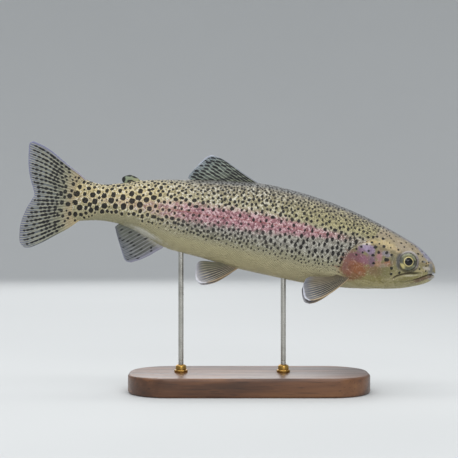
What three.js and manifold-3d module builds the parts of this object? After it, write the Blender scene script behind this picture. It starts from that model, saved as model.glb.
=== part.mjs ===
// A life-size rainbow trout, about 405 mm from snout to tail tip, swimming slightly nose-down,
// held on two rods above a wooden base. Millimetres, +Z up, nose to +X. The origin is the middle
// of the underside of the whole model's box.
//
// The fish is drawn in a frame of its own: a "station" is the distance behind the snout along the
// body's axis, a "height" is the distance above that axis, and "side" is -1 for its right (-Y) and
// +1 for its left. That frame is pitched and raised at the end.

import * as THREE from "three";
import { mergeVertices } from "three/addons/utils/BufferGeometryUtils.js";
import Module from "manifold-3d";

const wasm = await Module();
wasm.setup();

// ---------------------------------------------------------------- driving dimensions

const GAP = 0.3; // clearance between neighbouring pieces
const PITCH = THREE.MathUtils.degToRad(10.4); // how far the nose points down
const SNOUT_RISE = 116; // the snout's height above the floor

const FLESH_END = 356; // station where the flesh stops inside the tail fin
const END_CAP = 3; // length of the wedge that closes the flesh there
const RINGS = 42; // sections of the flesh from snout to tail
const AROUND = 28; // points around each section
const RING_CROWDING = 1.7; // above 1 crowds the rings towards the snout

const FULLNESS = { snout: 0.84, body: 0.96, settled: 110 }; // section shape and where it settles
const THINNEST = 0.2; // least half-size of a shrunk section

const SWING_FROM = 200; // station where the tail begins to swing to the left
const SWING = 9; // sideways reach of that swing at the tail's tips
const SWING_LENGTH = 205;

const EYE = { station: 29.2, height: 2.8, radius: 10.4, depth: 6.5, proud: 2.5 };
const COVER = { thick: 2, proud: 0.5 }; // gill covers
const MAXILLA = { thick: 1.6, proud: 0.4 };
const PLATE_FROM = 3; // how far from the middle plane the plates of the head begin
const OUTLINE_STEPS = 2; // straight steps for each knot of a curved outline
const HALF_WIDTH_LIMIT = 60; // anything past the fish's widest point
const FIN_TIP = 0.7; // thickness of every fin's free edge

const TRUNK_CUTS = [178, 262]; // stations that part the front, the rear and the tail stalk

const BASE = { length: 230, width: 96, height: 18, corner: 40, bevel: 2.5 };
const BASE_STATION = 182; // station that the base is centred under
const ROD = { radius: 2.5, sunk: 8, segments: 16 };
const ROD_STATIONS = { front: 142, rear: 243 };
const COLLAR = { radius: 6.5, height: 7, segments: 20, chamfer: 1.2 };

// Knots of the body's side outline, its half-width and the height of its widest points.
const TOP = [
  [0, -3.2], [2, 3.6], [7, 9.4], [14, 14.9], [24, 20.4], [36, 25.1], [50, 30.1], [70, 36.3],
  [92, 41.8], [120, 47], [150, 50.3], [176, 51.2], [205, 48.2], [250, 41.6], [285, 35.2],
  [312, 27.2], [328, 23.2], [340, 23.7], [353, 27],
];
const BOTTOM = [
  [0, -3.2], [1, -8], [3, -11.2], [8, -14.8], [17, -18.9], [30, -23.5], [48, -27.5], [70, -31.2],
  [95, -34], [122, -35.3], [160, -34.3], [190, -33], [225, -29.2], [250, -27.3], [260, -25.4],
  [278, -18.9], [296, -13.2], [312, -11.4], [326, -11.9], [340, -14.7], [353, -18],
];
const HALF_WIDTH = [
  [0, 0], [2, 4.8], [6, 8], [14, 11.4], [27, 14.8], [44, 17.7], [65, 19.7], [90, 21.3],
  [125, 22.6], [165, 22.6], [205, 20.8], [240, 18], [270, 14.4], [300, 10.4], [322, 7.6],
  [340, 4.8], [353, 2],
];
const WIDEST = [
  [0, -3.2], [14, -1.5], [30, 0], [60, 1], [100, 4], [150, 6.5], [205, 7.5], [260, 7],
  [300, 6.8], [330, 5.5], [353, 4],
];

// ---------------------------------------------------------------- the body's form

/** A smooth curve through knots, run on the root of the station so that it starts out blunt. */
function profile(knots) {
  const xs = knots.map(([station]) => Math.sqrt(station));
  const ys = knots.map(([, value]) => value);
  const last = xs.length - 1;
  const slopes = xs.map((_, i) => {
    const before = Math.max(i - 1, 0);
    const after = Math.min(i + 1, last);
    return (ys[after] - ys[before]) / (xs[after] - xs[before]);
  });
  return (station) => {
    const x = THREE.MathUtils.clamp(Math.sqrt(Math.max(station, 0)), xs[0], xs[last]);
    const i = xs.findLastIndex((knot, j) => knot <= x && j < last);
    const span = xs[i + 1] - xs[i];
    const t = (x - xs[i]) / span;
    const t2 = t * t;
    const t3 = t2 * t;
    return (
      (2 * t3 - 3 * t2 + 1) * ys[i] +
      (t3 - 2 * t2 + t) * span * slopes[i] +
      (3 * t2 - 2 * t3) * ys[i + 1] +
      (t3 - t2) * span * slopes[i + 1]
    );
  };
}

const top = profile(TOP);
const bottom = profile(BOTTOM);
const halfWidth = profile(HALF_WIDTH);
const widest = profile(WIDEST);

/** Exponent of a section's quarter-curves: under 1 is fuller than an ellipse. */
const fullness = (station) =>
  THREE.MathUtils.lerp(FULLNESS.snout, FULLNESS.body, Math.min(station / FULLNESS.settled, 1));

/** How far the middle plane swings to the left at a station. */
const swing = (station) => SWING * Math.max((station - SWING_FROM) / SWING_LENGTH, 0) ** 2;

/** Half-width of the flesh at a station and height, without the swing. */
function sideAt(station, height) {
  const above = height - widest(station);
  const reach = above > 0 ? top(station) - widest(station) : widest(station) - bottom(station);
  const rise = Math.min(Math.abs(above) / reach, 1) ** (1 / fullness(station));
  return halfWidth(station) * Math.sqrt(1 - rise * rise) ** fullness(station);
}

/** Outward direction of the flesh's side at a station and height. */
function outwardAt(station, height, side) {
  const step = 1;
  const alongBody = (sideAt(station + step, height) - sideAt(station - step, height)) / (2 * step);
  const upBody = (sideAt(station, height + step) - sideAt(station, height - step)) / (2 * step);
  return new THREE.Vector3(alongBody, side, -upBody).normalize();
}

/** The flesh as one closed surface, with every section grown by an amount (negative shrinks it). */
function fleshGeometry(grow = 0) {
  const geometry = new THREE.SphereGeometry(1, AROUND, RINGS);
  const position = geometry.attributes.position;
  const power = (value, exponent) => Math.sign(value) * Math.abs(value) ** exponent;
  const lastRing = 1 - 1 / RINGS;
  for (let i = 0; i < position.count; i++) {
    const fraction = Math.acos(THREE.MathUtils.clamp(position.getY(i), -1, 1)) / Math.PI;
    const radius = Math.hypot(position.getX(i), position.getZ(i));
    const pole = radius < 1e-6;
    const across = pole ? 0 : position.getX(i) / radius;
    const up = pole ? 0 : position.getZ(i) / radius;
    const run = Math.min(fraction / lastRing, 1) ** RING_CROWDING * (FLESH_END - END_CAP);
    const station = pole && fraction > 0.5 ? FLESH_END : run;
    const middle = widest(station);
    const reach = up > 0 ? top(station) - middle : middle - bottom(station);
    const shape = fullness(station);
    const wide = pole ? 0 : Math.max(halfWidth(station) + grow, THINNEST);
    const tall = pole ? 0 : Math.max(reach + grow, THINNEST);
    const ends = THREE.MathUtils.mapLinear(station, 0, FLESH_END, -grow, grow);
    position.setXYZ(
      i,
      -station - ends,
      wide * power(across, shape) + swing(station),
      middle + tall * power(up, shape),
    );
  }
  return geometry;
}

// ---------------------------------------------------------------- solids

/** A closed geometry as a manifold solid, turned right way out. */
function solid(geometry) {
  const bare = geometry.clone();
  bare.deleteAttribute("normal");
  bare.deleteAttribute("uv");
  const merged = mergeVertices(bare, 1e-4);
  const triVerts = new Uint32Array(merged.index.array);
  const build = () =>
    new wasm.Manifold(
      new wasm.Mesh({ numProp: 3, vertProperties: merged.attributes.position.array, triVerts }),
    );
  const made = build();
  if (made.volume() > 0) return made;
  triVerts.reverse();
  return build();
}

/** The largest body of a solid, which drops slivers that a cut leaves. */
function largest(cut) {
  return cut.decompose().reduce((best, body) => (body.volume() > best.volume() ? body : best));
}

/** A solid as a plain geometry with normals. */
function geometryOf(made) {
  const mesh = made.getMesh();
  const geometry = new THREE.BufferGeometry();
  const points = new Float32Array(mesh.numVert * 3);
  for (let i = 0; i < mesh.numVert; i++) {
    points.set(mesh.vertProperties.subarray(i * mesh.numProp, i * mesh.numProp + 3), i * 3);
  }
  geometry.setAttribute("position", new THREE.BufferAttribute(points, 3));
  geometry.setIndex(new THREE.BufferAttribute(mesh.triVerts, 1));
  geometry.computeVertexNormals();
  return geometry;
}

/** An outline of runs of [station, height]: each run is smooth, and runs meet at corners. */
function outline(...runs) {
  const shape = new THREE.Shape();
  shape.moveTo(...runs[0][0]);
  runs.forEach((run, i) => {
    const points = run.slice(i ? 0 : 1).map(([station, height]) => new THREE.Vector2(station, height));
    if (i) shape.lineTo(points[0].x, points[0].y);
    if (points.length > 1) shape.splineThru(points.slice(i ? 1 : 0));
  });
  return shape;
}

/** Turns a shape drawn in station and height, extruded along its depth, into the fish's frame. */
const INTO_FISH = new THREE.Matrix4().makeBasis(
  new THREE.Vector3(-1, 0, 0),
  new THREE.Vector3(0, 0, 1),
  new THREE.Vector3(0, 1, 0),
);

/** A straight-sided block with a side-view outline, between two sideways places. */
function block(shape, from, to) {
  const geometry = new THREE.ExtrudeGeometry(shape, {
    depth: to - from,
    bevelEnabled: false,
    curveSegments: OUTLINE_STEPS,
  });
  geometry.translate(0, 0, from);
  return geometry.applyMatrix4(INTO_FISH);
}

/** The same outline moved outwards by the clearance, square to its edges. */
function widened(shape) {
  const points = shape
    .getPoints(OUTLINE_STEPS)
    .filter((p, i, all) => p.distanceTo(all.at(i - 1)) > 1e-6);
  const outward = THREE.ShapeUtils.isClockWise(points) ? -1 : 1;
  const normal = (from, to) => to.clone().sub(from).normalize().rotateAround(new THREE.Vector2(), -Math.PI / 2);
  return new THREE.Shape(
    points.map((p, i) => {
      const before = normal(points.at(i - 1), p);
      const after = normal(p, points[(i + 1) % points.length]);
      const mitre = before.add(after);
      const scale = 2 / Math.max(mitre.lengthSq(), 1);
      return p.clone().addScaledVector(mitre, outward * GAP * scale);
    }),
  );
}

/** A block's solid, and the solid of the hole that it needs. */
function blockPair(shape, from, to) {
  return [solid(block(shape, from, to)), solid(block(widened(shape), from, to))];
}

// ---------------------------------------------------------------- outlines in station and height

const COVER_EDGE = outline(
  [
    [65.8, 15.2], [72.6, 13.4], [79.5, 10.2], [85.8, 4.2], [89.9, -3.9], [92, -11.7],
    [90.3, -17.6], [84.9, -21.1], [76.7, -25.1], [67.8, -27.1],
  ],
  [[64.8, -17.6], [63.3, -7.8], [63.8, 4], [65.8, 15.2]],
);
const MAXILLA_EDGE = outline(
  [[10.7, -4.9], [19.4, -6.8], [28, -9], [34.6, -11.4], [39.2, -13.9], [42.8, -16.4], [42.6, -19.2]],
  [[33, -20.5]],
  [[22, -17]],
  [[10.7, -10.5]],
);
const JAW_EDGE = outline(
  [[-4, -5.2], [4, -5.9], [15, -9.9], [24.3, -13.7], [33.6, -16.6], [41.9, -17.1]],
  [[44.6, -19.5], [46, -24], [44, -34]],
  [[-4, -34]],
);
const HEAD_EDGE = outline(
  [[-8, 60]],
  [[54, 60]],
  [[59, 34], [66, 17], [76, 5], [81, -8], [79, -22], [72, -50]],
  [[-8, -50]],
);

const DORSAL_EDGE = outline(
  [[178, 40]],
  [[179, 49.5]],
  [
    [188, 53.4], [197.6, 57.6], [206.4, 61.8], [215.8, 66], [223, 68.2], [230.8, 69],
    [235.6, 66.2], [240.2, 60.4], [244.6, 53.6], [248.6, 47.2], [249.4, 43],
  ],
  [[248.6, 36]],
);
const ADIPOSE_EDGE = outline(
  [[293, 28]],
  [[294, 33.2], [298.4, 35.6], [304.6, 36.6], [309.6, 34.6], [311.4, 31], [310.6, 28.4]],
  [[303, 26]],
);
const ANAL_EDGE = outline(
  [[259, -20]],
  [[260, -25.8]],
  [
    [265.6, -30.4], [272.6, -36.4], [280.4, -41.8], [288.6, -46], [293.6, -45.6], [297.4, -40.6],
    [301.8, -32.4], [306.6, -22.8], [310, -15.2],
  ],
  [[309.6, -12.6], [296, -11]],
  [[280, -12]],
);
const CAUDAL_EDGE = outline(
  [[338, 18]],
  [
    [341, 24.4], [352, 28.6], [362.4, 33.9], [373.2, 39.9], [384.1, 46], [394.6, 50], [403.2, 52],
    [406.5, 49.6], [406, 42], [403.2, 27], [399, 15.2], [394.8, 6.6], [392.8, 1],
    [394.6, -4.2], [398.2, -14], [400.8, -27], [400.6, -37], [398.4, -46.6], [393, -50.8],
    [387, -49.2], [376.4, -42.4], [365.4, -33.6], [354.6, -25], [342.3, -17.6],
  ],
  [[338, -10]],
);
const UPPER_LOBE = outline(
  [[330, 60]],
  [[330, 3]],
  [[360, 2.6], [376, 2], [420, 0.6]],
  [[420, 60]],
);
const PECTORAL_EDGE = outline(
  [[80.3, -17.6]],
  [[81.6, -22.7]],
  [
    [88.4, -30.9], [94.8, -37.4], [102.2, -43.4], [110.3, -47.9], [116.7, -49.5], [121.1, -47.7],
    [123.3, -42.6], [124.2, -36], [122.6, -30.3], [118.6, -27.4], [107.2, -25.7], [96.7, -23.9],
    [91.1, -20.6],
  ],
  [[87, -16.6]],
);
const PELVIC_EDGE = outline(
  [[184, -28]],
  [[186.4, -32]],
  [
    [191.4, -37], [198.4, -42.9], [206.4, -48.4], [214.6, -51.8], [220.8, -52.4], [224.2, -49.6],
    [225.8, -43.4], [226.1, -36.4], [224.8, -32.2], [218, -31.2], [206, -30.6],
  ],
  [[197, -27]],
);

const PELVIC = { edge: PELVIC_EDGE, root: [[185, -32], [198, -30]], thick: 2, lean: 0.3 };
const PECTORAL = { edge: PECTORAL_EDGE, root: [[81, -22], [90, -19]], thick: 2, lean: 0.42 };
const FINS = [
  { name: "dorsal_fin", edge: DORSAL_EDGE, root: [[180, 50], [248, 41]], thick: 2.6 },
  { name: "adipose_fin", edge: ADIPOSE_EDGE, root: [[293, 31], [308, 27]], thick: 2.4 },
  { name: "anal_fin", edge: ANAL_EDGE, root: [[260, -25], [298, -12]], thick: 2.2 },
  { name: "pelvic_fin_right", side: -1, ...PELVIC },
  { name: "pelvic_fin_left", side: 1, droop: 5, ...PELVIC },
  { name: "pectoral_fin_right", side: -1, byCover: true, ...PECTORAL },
  { name: "pectoral_fin_left", side: 1, byCover: true, droop: 11, ...PECTORAL },
];
const CAUDAL = { edge: CAUDAL_EDGE, root: [[344, 24], [344, -16]], thick: 3.2 };
const FIN_ROOT_SUNK = 2.5; // how far a paired fin's root starts inside the flesh

/** A fin: a thin blade that tapers from its root line and leans outwards on a paired fin. */
function fin({ edge, root, thick, side = 0, lean = 0, droop = 0 }) {
  const geometry = new THREE.ExtrudeGeometry(edge, {
    depth: 1,
    bevelEnabled: false,
    curveSegments: OUTLINE_STEPS,
  });
  const [start, end] = root.map(([station, height]) => new THREE.Vector2(station, height));
  const along = end.clone().sub(start).normalize();
  const turn = THREE.MathUtils.degToRad(droop);
  const position = geometry.attributes.position;
  const distance = (point) => Math.abs(point.clone().sub(start).cross(along));
  const middle = start.clone().lerp(end, 0.5);
  const rootSide = side ? sideAt(middle.x, middle.y) - FIN_ROOT_SUNK : 0;
  const points = [];
  for (let i = 0; i < position.count; i++) {
    points.push(new THREE.Vector2(position.getX(i), position.getY(i)));
  }
  const reach = Math.max(...points.map(distance));
  points.forEach((point, i) => {
    const away = distance(point);
    const thickness = THREE.MathUtils.lerp(thick, FIN_TIP, away / reach);
    const turned = point.clone().rotateAround(start, -turn);
    const sideways = side * (rootSide + lean * away) + swing(turned.x);
    position.setXYZ(i, turned.x, turned.y, sideways + (position.getZ(i) - 0.5) * thickness);
  });
  return geometry.applyMatrix4(INTO_FISH);
}

// ---------------------------------------------------------------- the stand

/** The fish's frame: pitched nose-down, with the snout at its height over the floor. */
const fish = new THREE.Group();
fish.rotation.y = PITCH;
fish.position.set(0, 0, SNOUT_RISE);

/** A point of the fish's middle plane in the stand's frame. */
function inStand(station, height) {
  fish.updateMatrix();
  return new THREE.Vector3(-station, swing(station), height).applyMatrix4(fish.matrix);
}

/** A flat base with rounded ends and softened edges, its underside at the floor. */
function baseGeometry() {
  const { length, width, height, corner, bevel } = BASE;
  const x = length / 2 - bevel;
  const y = width / 2 - bevel;
  const r = corner - bevel;
  const shape = new THREE.Shape();
  shape.moveTo(-x + r, -y);
  shape.lineTo(x - r, -y);
  shape.absarc(x - r, -y + r, r, -Math.PI / 2, 0);
  shape.absarc(x - r, y - r, r, 0, Math.PI / 2);
  shape.absarc(-x + r, y - r, r, Math.PI / 2, Math.PI);
  shape.absarc(-x + r, -y + r, r, Math.PI, Math.PI * 1.5);
  const geometry = new THREE.ExtrudeGeometry(shape, {
    depth: height - 2 * bevel,
    bevelThickness: bevel,
    bevelSize: bevel,
    bevelSegments: 2,
    curveSegments: 7,
  });
  return geometry.translate(inStand(BASE_STATION, 0).x, 0, bevel);
}

/** A straight upright rod from just over the base into the belly at a station. */
function rodGeometry(station, extra = 0) {
  const belly = inStand(station, bottom(station));
  const foot = BASE.height + GAP;
  const length = belly.z + ROD.sunk + extra - foot;
  const geometry = new THREE.CylinderGeometry(ROD.radius + extra, ROD.radius + extra, length, ROD.segments);
  return geometry
    .rotateX(Math.PI / 2)
    .translate(belly.x, 0, foot + length / 2);
}

/** A turned collar that the rod passes through, standing on the base. */
function collarGeometry(station) {
  const inner = ROD.radius + GAP;
  const { radius, height, segments, chamfer } = COLLAR;
  const section = [
    [inner, 0],
    [radius, 0],
    [radius, height - chamfer],
    [radius - chamfer, height],
    [inner, height],
    [inner, 0],
  ].map(([r, z]) => new THREE.Vector2(r, z));
  return new THREE.LatheGeometry(section, segments)
    .rotateX(Math.PI / 2)
    .translate(inStand(station, bottom(station)).x, 0, BASE.height + GAP);
}

// ---------------------------------------------------------------- materials

/** A plain finish. */
function finish(color, roughness, metalness = 0) {
  return new THREE.MeshStandardMaterial({ color, roughness, metalness });
}

const FINISHES = {
  back: () => finish(0x7f7f56, 0.35),
  flank: () => finish(0x9a9377, 0.32),
  cheek: () => finish(0xb07a78, 0.3),
  jaw: () => finish(0xb9b39a, 0.35),
  fin: () => finish(0x8b8876, 0.45),
  eye: () => finish(0xb8a95e, 0.08),
  wood: () => finish(0x5b3822, 0.4),
  metal: () => finish(0xb9b6ae, 0.28, 1),
};

// ---------------------------------------------------------------- assembly

/** A named mesh of a geometry in a finish. */
function piece(name, geometry, finishName) {
  const mesh = new THREE.Mesh(geometry, FINISHES[finishName]());
  mesh.name = name;
  return mesh;
}

const SIDES = [
  ["right", -1],
  ["left", 1],
];

let flesh = solid(fleshGeometry());
const proudCover = solid(fleshGeometry(COVER.proud));
const proudMaxilla = solid(fleshGeometry(MAXILLA.proud));
const besideFlesh = solid(fleshGeometry(GAP));
const besideCover = solid(fleshGeometry(COVER.proud + GAP));
const underCover = solid(fleshGeometry(-COVER.thick));
const bedOfCover = solid(fleshGeometry(-COVER.thick - GAP));
const underMaxilla = solid(fleshGeometry(-MAXILLA.thick));
const bedOfMaxilla = solid(fleshGeometry(-MAXILLA.thick - GAP));

// The rods' holes are cut first, so that each lies in whichever length of trunk it meets.
fish.updateMatrix();
const intoFish = fish.matrix.clone().invert();
for (const station of Object.values(ROD_STATIONS)) {
  flesh = flesh.subtract(solid(rodGeometry(station, GAP).applyMatrix4(intoFish)));
}

const [jawBlock, jawHole] = blockPair(JAW_EDGE, -HALF_WIDTH_LIMIT, HALF_WIDTH_LIMIT);
const jaw = largest(flesh.intersect(jawBlock));
flesh = flesh.subtract(jawHole);

for (const [word, side] of SIDES) {
  const reach = [side * PLATE_FROM, side * HALF_WIDTH_LIMIT].sort((a, b) => a - b);

  const outward = outwardAt(EYE.station, EYE.height, side);
  const surface = new THREE.Vector3(-EYE.station, side * sideAt(EYE.station, EYE.height), EYE.height);
  const centre = surface.addScaledVector(outward, EYE.proud - EYE.depth);
  const turn = new THREE.Quaternion().setFromUnitVectors(new THREE.Vector3(0, 1, 0), outward);
  const eyeball = (extra) =>
    new THREE.SphereGeometry(1, 18, 12)
      .scale(EYE.radius + extra, EYE.depth + extra, EYE.radius + extra)
      .applyQuaternion(turn)
      .translate(centre.x, centre.y, centre.z);
  flesh = flesh.subtract(solid(eyeball(GAP)));
  fish.add(piece(`eye_${word}`, eyeball(0), "eye"));

  const [coverBlock, coverHole] = blockPair(COVER_EDGE, ...reach);
  const cover = largest(proudCover.subtract(underCover).intersect(coverBlock));
  fish.add(piece(`gill_cover_${word}`, geometryOf(cover), "cheek"));
  flesh = flesh.subtract(coverHole.subtract(bedOfCover));

  const [maxillaBlock, maxillaHole] = blockPair(MAXILLA_EDGE, ...reach);
  const maxilla = proudMaxilla.subtract(underMaxilla).intersect(maxillaBlock).subtract(jawHole);
  fish.add(piece(`maxilla_${word}`, geometryOf(largest(maxilla)), "jaw"));
  flesh = flesh.subtract(maxillaHole.subtract(bedOfMaxilla));
}
fish.add(piece("lower_jaw", geometryOf(jaw), "jaw"));

const [headBlock, headHole] = blockPair(HEAD_EDGE, -HALF_WIDTH_LIMIT, HALF_WIDTH_LIMIT);
fish.add(piece("head", geometryOf(largest(flesh.intersect(headBlock))), "back"));
const trunk = flesh.subtract(headHole);

/** The trunk between two stations, half a clearance inside each. */
function trunkLength(from, to) {
  const length = to - from - GAP;
  const cutter = new THREE.BoxGeometry(length, 4 * HALF_WIDTH_LIMIT, 4 * HALF_WIDTH_LIMIT);
  return geometryOf(largest(trunk.intersect(solid(cutter.translate(-(from + to) / 2, 0, 0)))));
}
const [shoulderCut, ventCut] = TRUNK_CUTS;
fish.add(piece("trunk_front", trunkLength(0, shoulderCut), "flank"));
fish.add(piece("trunk_rear", trunkLength(shoulderCut, ventCut), "flank"));
fish.add(piece("tail_stalk", trunkLength(ventCut, 2 * FLESH_END), "flank"));

for (const spec of FINS) {
  const bed = spec.byCover ? besideCover : besideFlesh;
  fish.add(piece(spec.name, geometryOf(largest(solid(fin(spec)).subtract(bed))), "fin"));
}

const caudal = solid(fin(CAUDAL)).subtract(besideFlesh);
const [upperBlock, upperHole] = blockPair(UPPER_LOBE, -HALF_WIDTH_LIMIT, HALF_WIDTH_LIMIT);
fish.add(piece("caudal_fin_upper", geometryOf(largest(caudal.intersect(upperBlock))), "fin"));
fish.add(piece("caudal_fin_lower", geometryOf(largest(caudal.subtract(upperHole))), "fin"));

const stand = new THREE.Group();
stand.add(piece("stand_base", baseGeometry(), "wood"));
for (const [word, station] of Object.entries(ROD_STATIONS)) {
  stand.add(piece(`stand_rod_${word}`, rodGeometry(station), "metal"));
  stand.add(piece(`stand_collar_${word}`, collarGeometry(station), "metal"));
}

const trout = new THREE.Group();
trout.name = "rainbow_trout";
trout.add(fish, stand);
trout.updateMatrixWorld(true);
const box = new THREE.Box3().setFromObject(trout, true);
trout.children.forEach((group) => {
  group.position.x -= (box.min.x + box.max.x) / 2;
  group.position.y -= (box.min.y + box.max.y) / 2;
});

export default trout;
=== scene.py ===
"""A life-size rainbow trout on a plain display stand: its skin, scales, fins and eyes, the stand,
and a pale studio.

The fish is drawn in a frame of its own, in millimetres: a station is a distance behind the snout,
a side is a distance towards the fish's left, and a height is a distance above its axis. Arrays of
such points have those three columns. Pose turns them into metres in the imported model's frame.
"""

import logging
import math
from dataclasses import dataclass, replace
from enum import Enum
from functools import partial
from typing import Callable, Iterable

import bpy
import numpy as np
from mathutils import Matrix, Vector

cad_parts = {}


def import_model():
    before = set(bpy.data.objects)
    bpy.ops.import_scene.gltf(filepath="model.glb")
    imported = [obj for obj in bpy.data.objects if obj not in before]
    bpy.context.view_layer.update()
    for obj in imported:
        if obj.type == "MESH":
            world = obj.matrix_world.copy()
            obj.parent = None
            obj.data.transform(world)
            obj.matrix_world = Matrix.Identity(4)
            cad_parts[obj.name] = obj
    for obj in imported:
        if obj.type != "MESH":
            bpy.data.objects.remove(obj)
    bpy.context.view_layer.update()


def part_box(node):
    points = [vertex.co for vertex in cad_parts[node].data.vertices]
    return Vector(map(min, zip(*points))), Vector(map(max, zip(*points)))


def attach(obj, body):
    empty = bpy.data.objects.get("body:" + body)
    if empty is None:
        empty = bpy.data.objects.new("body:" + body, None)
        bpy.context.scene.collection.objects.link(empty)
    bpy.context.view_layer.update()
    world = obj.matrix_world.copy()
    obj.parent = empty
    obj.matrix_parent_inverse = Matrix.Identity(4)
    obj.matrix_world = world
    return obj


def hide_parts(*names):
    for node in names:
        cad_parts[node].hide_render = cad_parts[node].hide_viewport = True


Array = np.ndarray
Pair = tuple[float, float]
Triple = tuple[float, float, float]
Points = tuple[Pair, ...]
Oval = tuple[float, float, float, float]
Ovals = tuple[Oval, ...]
Stops = tuple[tuple[float, str], ...]
Colour = tuple[float, float, float, float]
Key = int | str
Socket = bpy.types.NodeSocket
Piece = bpy.types.Object
Material = bpy.types.Material

MM = 0.001
BODY = "root"
BAKE_MAP = "OFBake"
log = logging.getLogger("trout")


class Side(Enum):
    """A side of the fish, by the sign of its sideways axis."""

    RIGHT = -1
    LEFT = 1


class Slot(Enum):
    """The record's material slots."""

    BODY = "body_skin"
    FIN = "fin"
    EYE = "eye"
    WOOD = "stand_wood"
    ROD = "stand_rod"
    COLLAR = "stand_collar"


# ---- numbers and curves


def smooth(value: Array, low: float, high: float) -> Array:
    """0 at low, 1 at high, and an even slope between them; low may be the greater."""
    t = np.clip((value - low) / (high - low), 0.0, 1.0)
    return t * t * (3.0 - 2.0 * t)


def bell(distance: Array, width: float) -> Array:
    """1 at no distance, falling to about a third at the width."""
    return np.exp(-((distance / width) ** 2))


def hermite(xs: Array, ys: Array, x: Array) -> Array:
    """Interpolates smoothly between knots.

    Args:
        xs: the knots' places, rising.
        ys: one row of values for each knot.
        x: the places wanted.

    Returns:
        One row of values for each place.
    """
    last = len(xs) - 1
    index = np.arange(last + 1)
    before, after = np.maximum(index - 1, 0), np.minimum(index + 1, last)
    slopes = (ys[after] - ys[before]) / (xs[after] - xs[before])[:, None]
    i = np.clip(np.searchsorted(xs, x, side="right") - 1, 0, last - 1)
    span = (xs[i + 1] - xs[i])[:, None]
    t = ((x - xs[i])[:, None]) / span
    t2, t3 = t * t, t * t * t
    start = (2 * t3 - 3 * t2 + 1) * ys[i] + (t3 - 2 * t2 + t) * span * slopes[i]
    return start + (3 * t2 - 2 * t3) * ys[i + 1] + (t3 - t2) * span * slopes[i + 1]


@dataclass(frozen=True)
class Profile:
    """A value along the body, through knots of (station, value), blunt at the snout."""

    knots: Points

    def __call__(self, station: Array) -> Array:
        """The value at each station."""
        knots = np.asarray(self.knots, float)
        xs = np.sqrt(knots[:, 0])
        flat = np.clip(np.sqrt(np.maximum(np.ravel(station), 0.0)), xs[0], xs[-1])
        return hermite(xs, knots[:, 1:], flat)[:, 0].reshape(np.shape(station))


@dataclass(frozen=True)
class Curve:
    """A smooth open line through points of (station, height)."""

    points: Points
    steps: int = 8

    def dense(self) -> tuple[Array, Array]:
        """The line as short straight pieces.

        Returns:
            The places along it, and the length of line up to each.
        """
        knots = np.asarray(self.points, float)
        run = np.concatenate([[0.0], np.cumsum(np.linalg.norm(np.diff(knots, axis=0), axis=1))])
        line = hermite(run, knots, np.linspace(0.0, run[-1], self.steps * (len(run) - 1) + 1))
        steps = np.linalg.norm(np.diff(line, axis=0), axis=1)
        return line, np.concatenate([[0.0], np.cumsum(steps)])

    def at(self, fraction: Array) -> Array:
        """Places at fractions of the line's length."""
        line, run = self.dense()
        wanted = np.asarray(fraction) * run[-1]
        return np.stack([np.interp(wanted, run, line[:, axis]) for axis in (0, 1)], axis=-1)

    def length(self) -> float:
        """The line's length."""
        return float(self.dense()[1][-1])

    def distance(self, u: Array, v: Array) -> tuple[Array, Array]:
        """Measures places against the line.

        Args:
            u: stations.
            v: heights.

        Returns:
            The distance, positive on the left of the line's way, and the fraction along it.
        """
        line, run = self.dense()
        best = np.full(u.shape, np.inf)
        signed, along = np.zeros(u.shape), np.zeros(u.shape)
        for (au, av), (bu, bv), start, end in zip(line[:-1], line[1:], run[:-1], run[1:]):
            du, dv = (bu - au) / (end - start), (bv - av) / (end - start)
            t = np.clip((u - au) * du + (v - av) * dv, 0.0, end - start)
            gap = np.hypot(u - au - du * t, v - av - dv * t)
            near = gap < best
            best = np.where(near, gap, best)
            signed = np.where(near, np.copysign(gap, du * (v - av) - dv * (u - au)), signed)
            along = np.where(near, (start + t) / run[-1], along)
        return signed, along


# ---- the body's form


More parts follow.
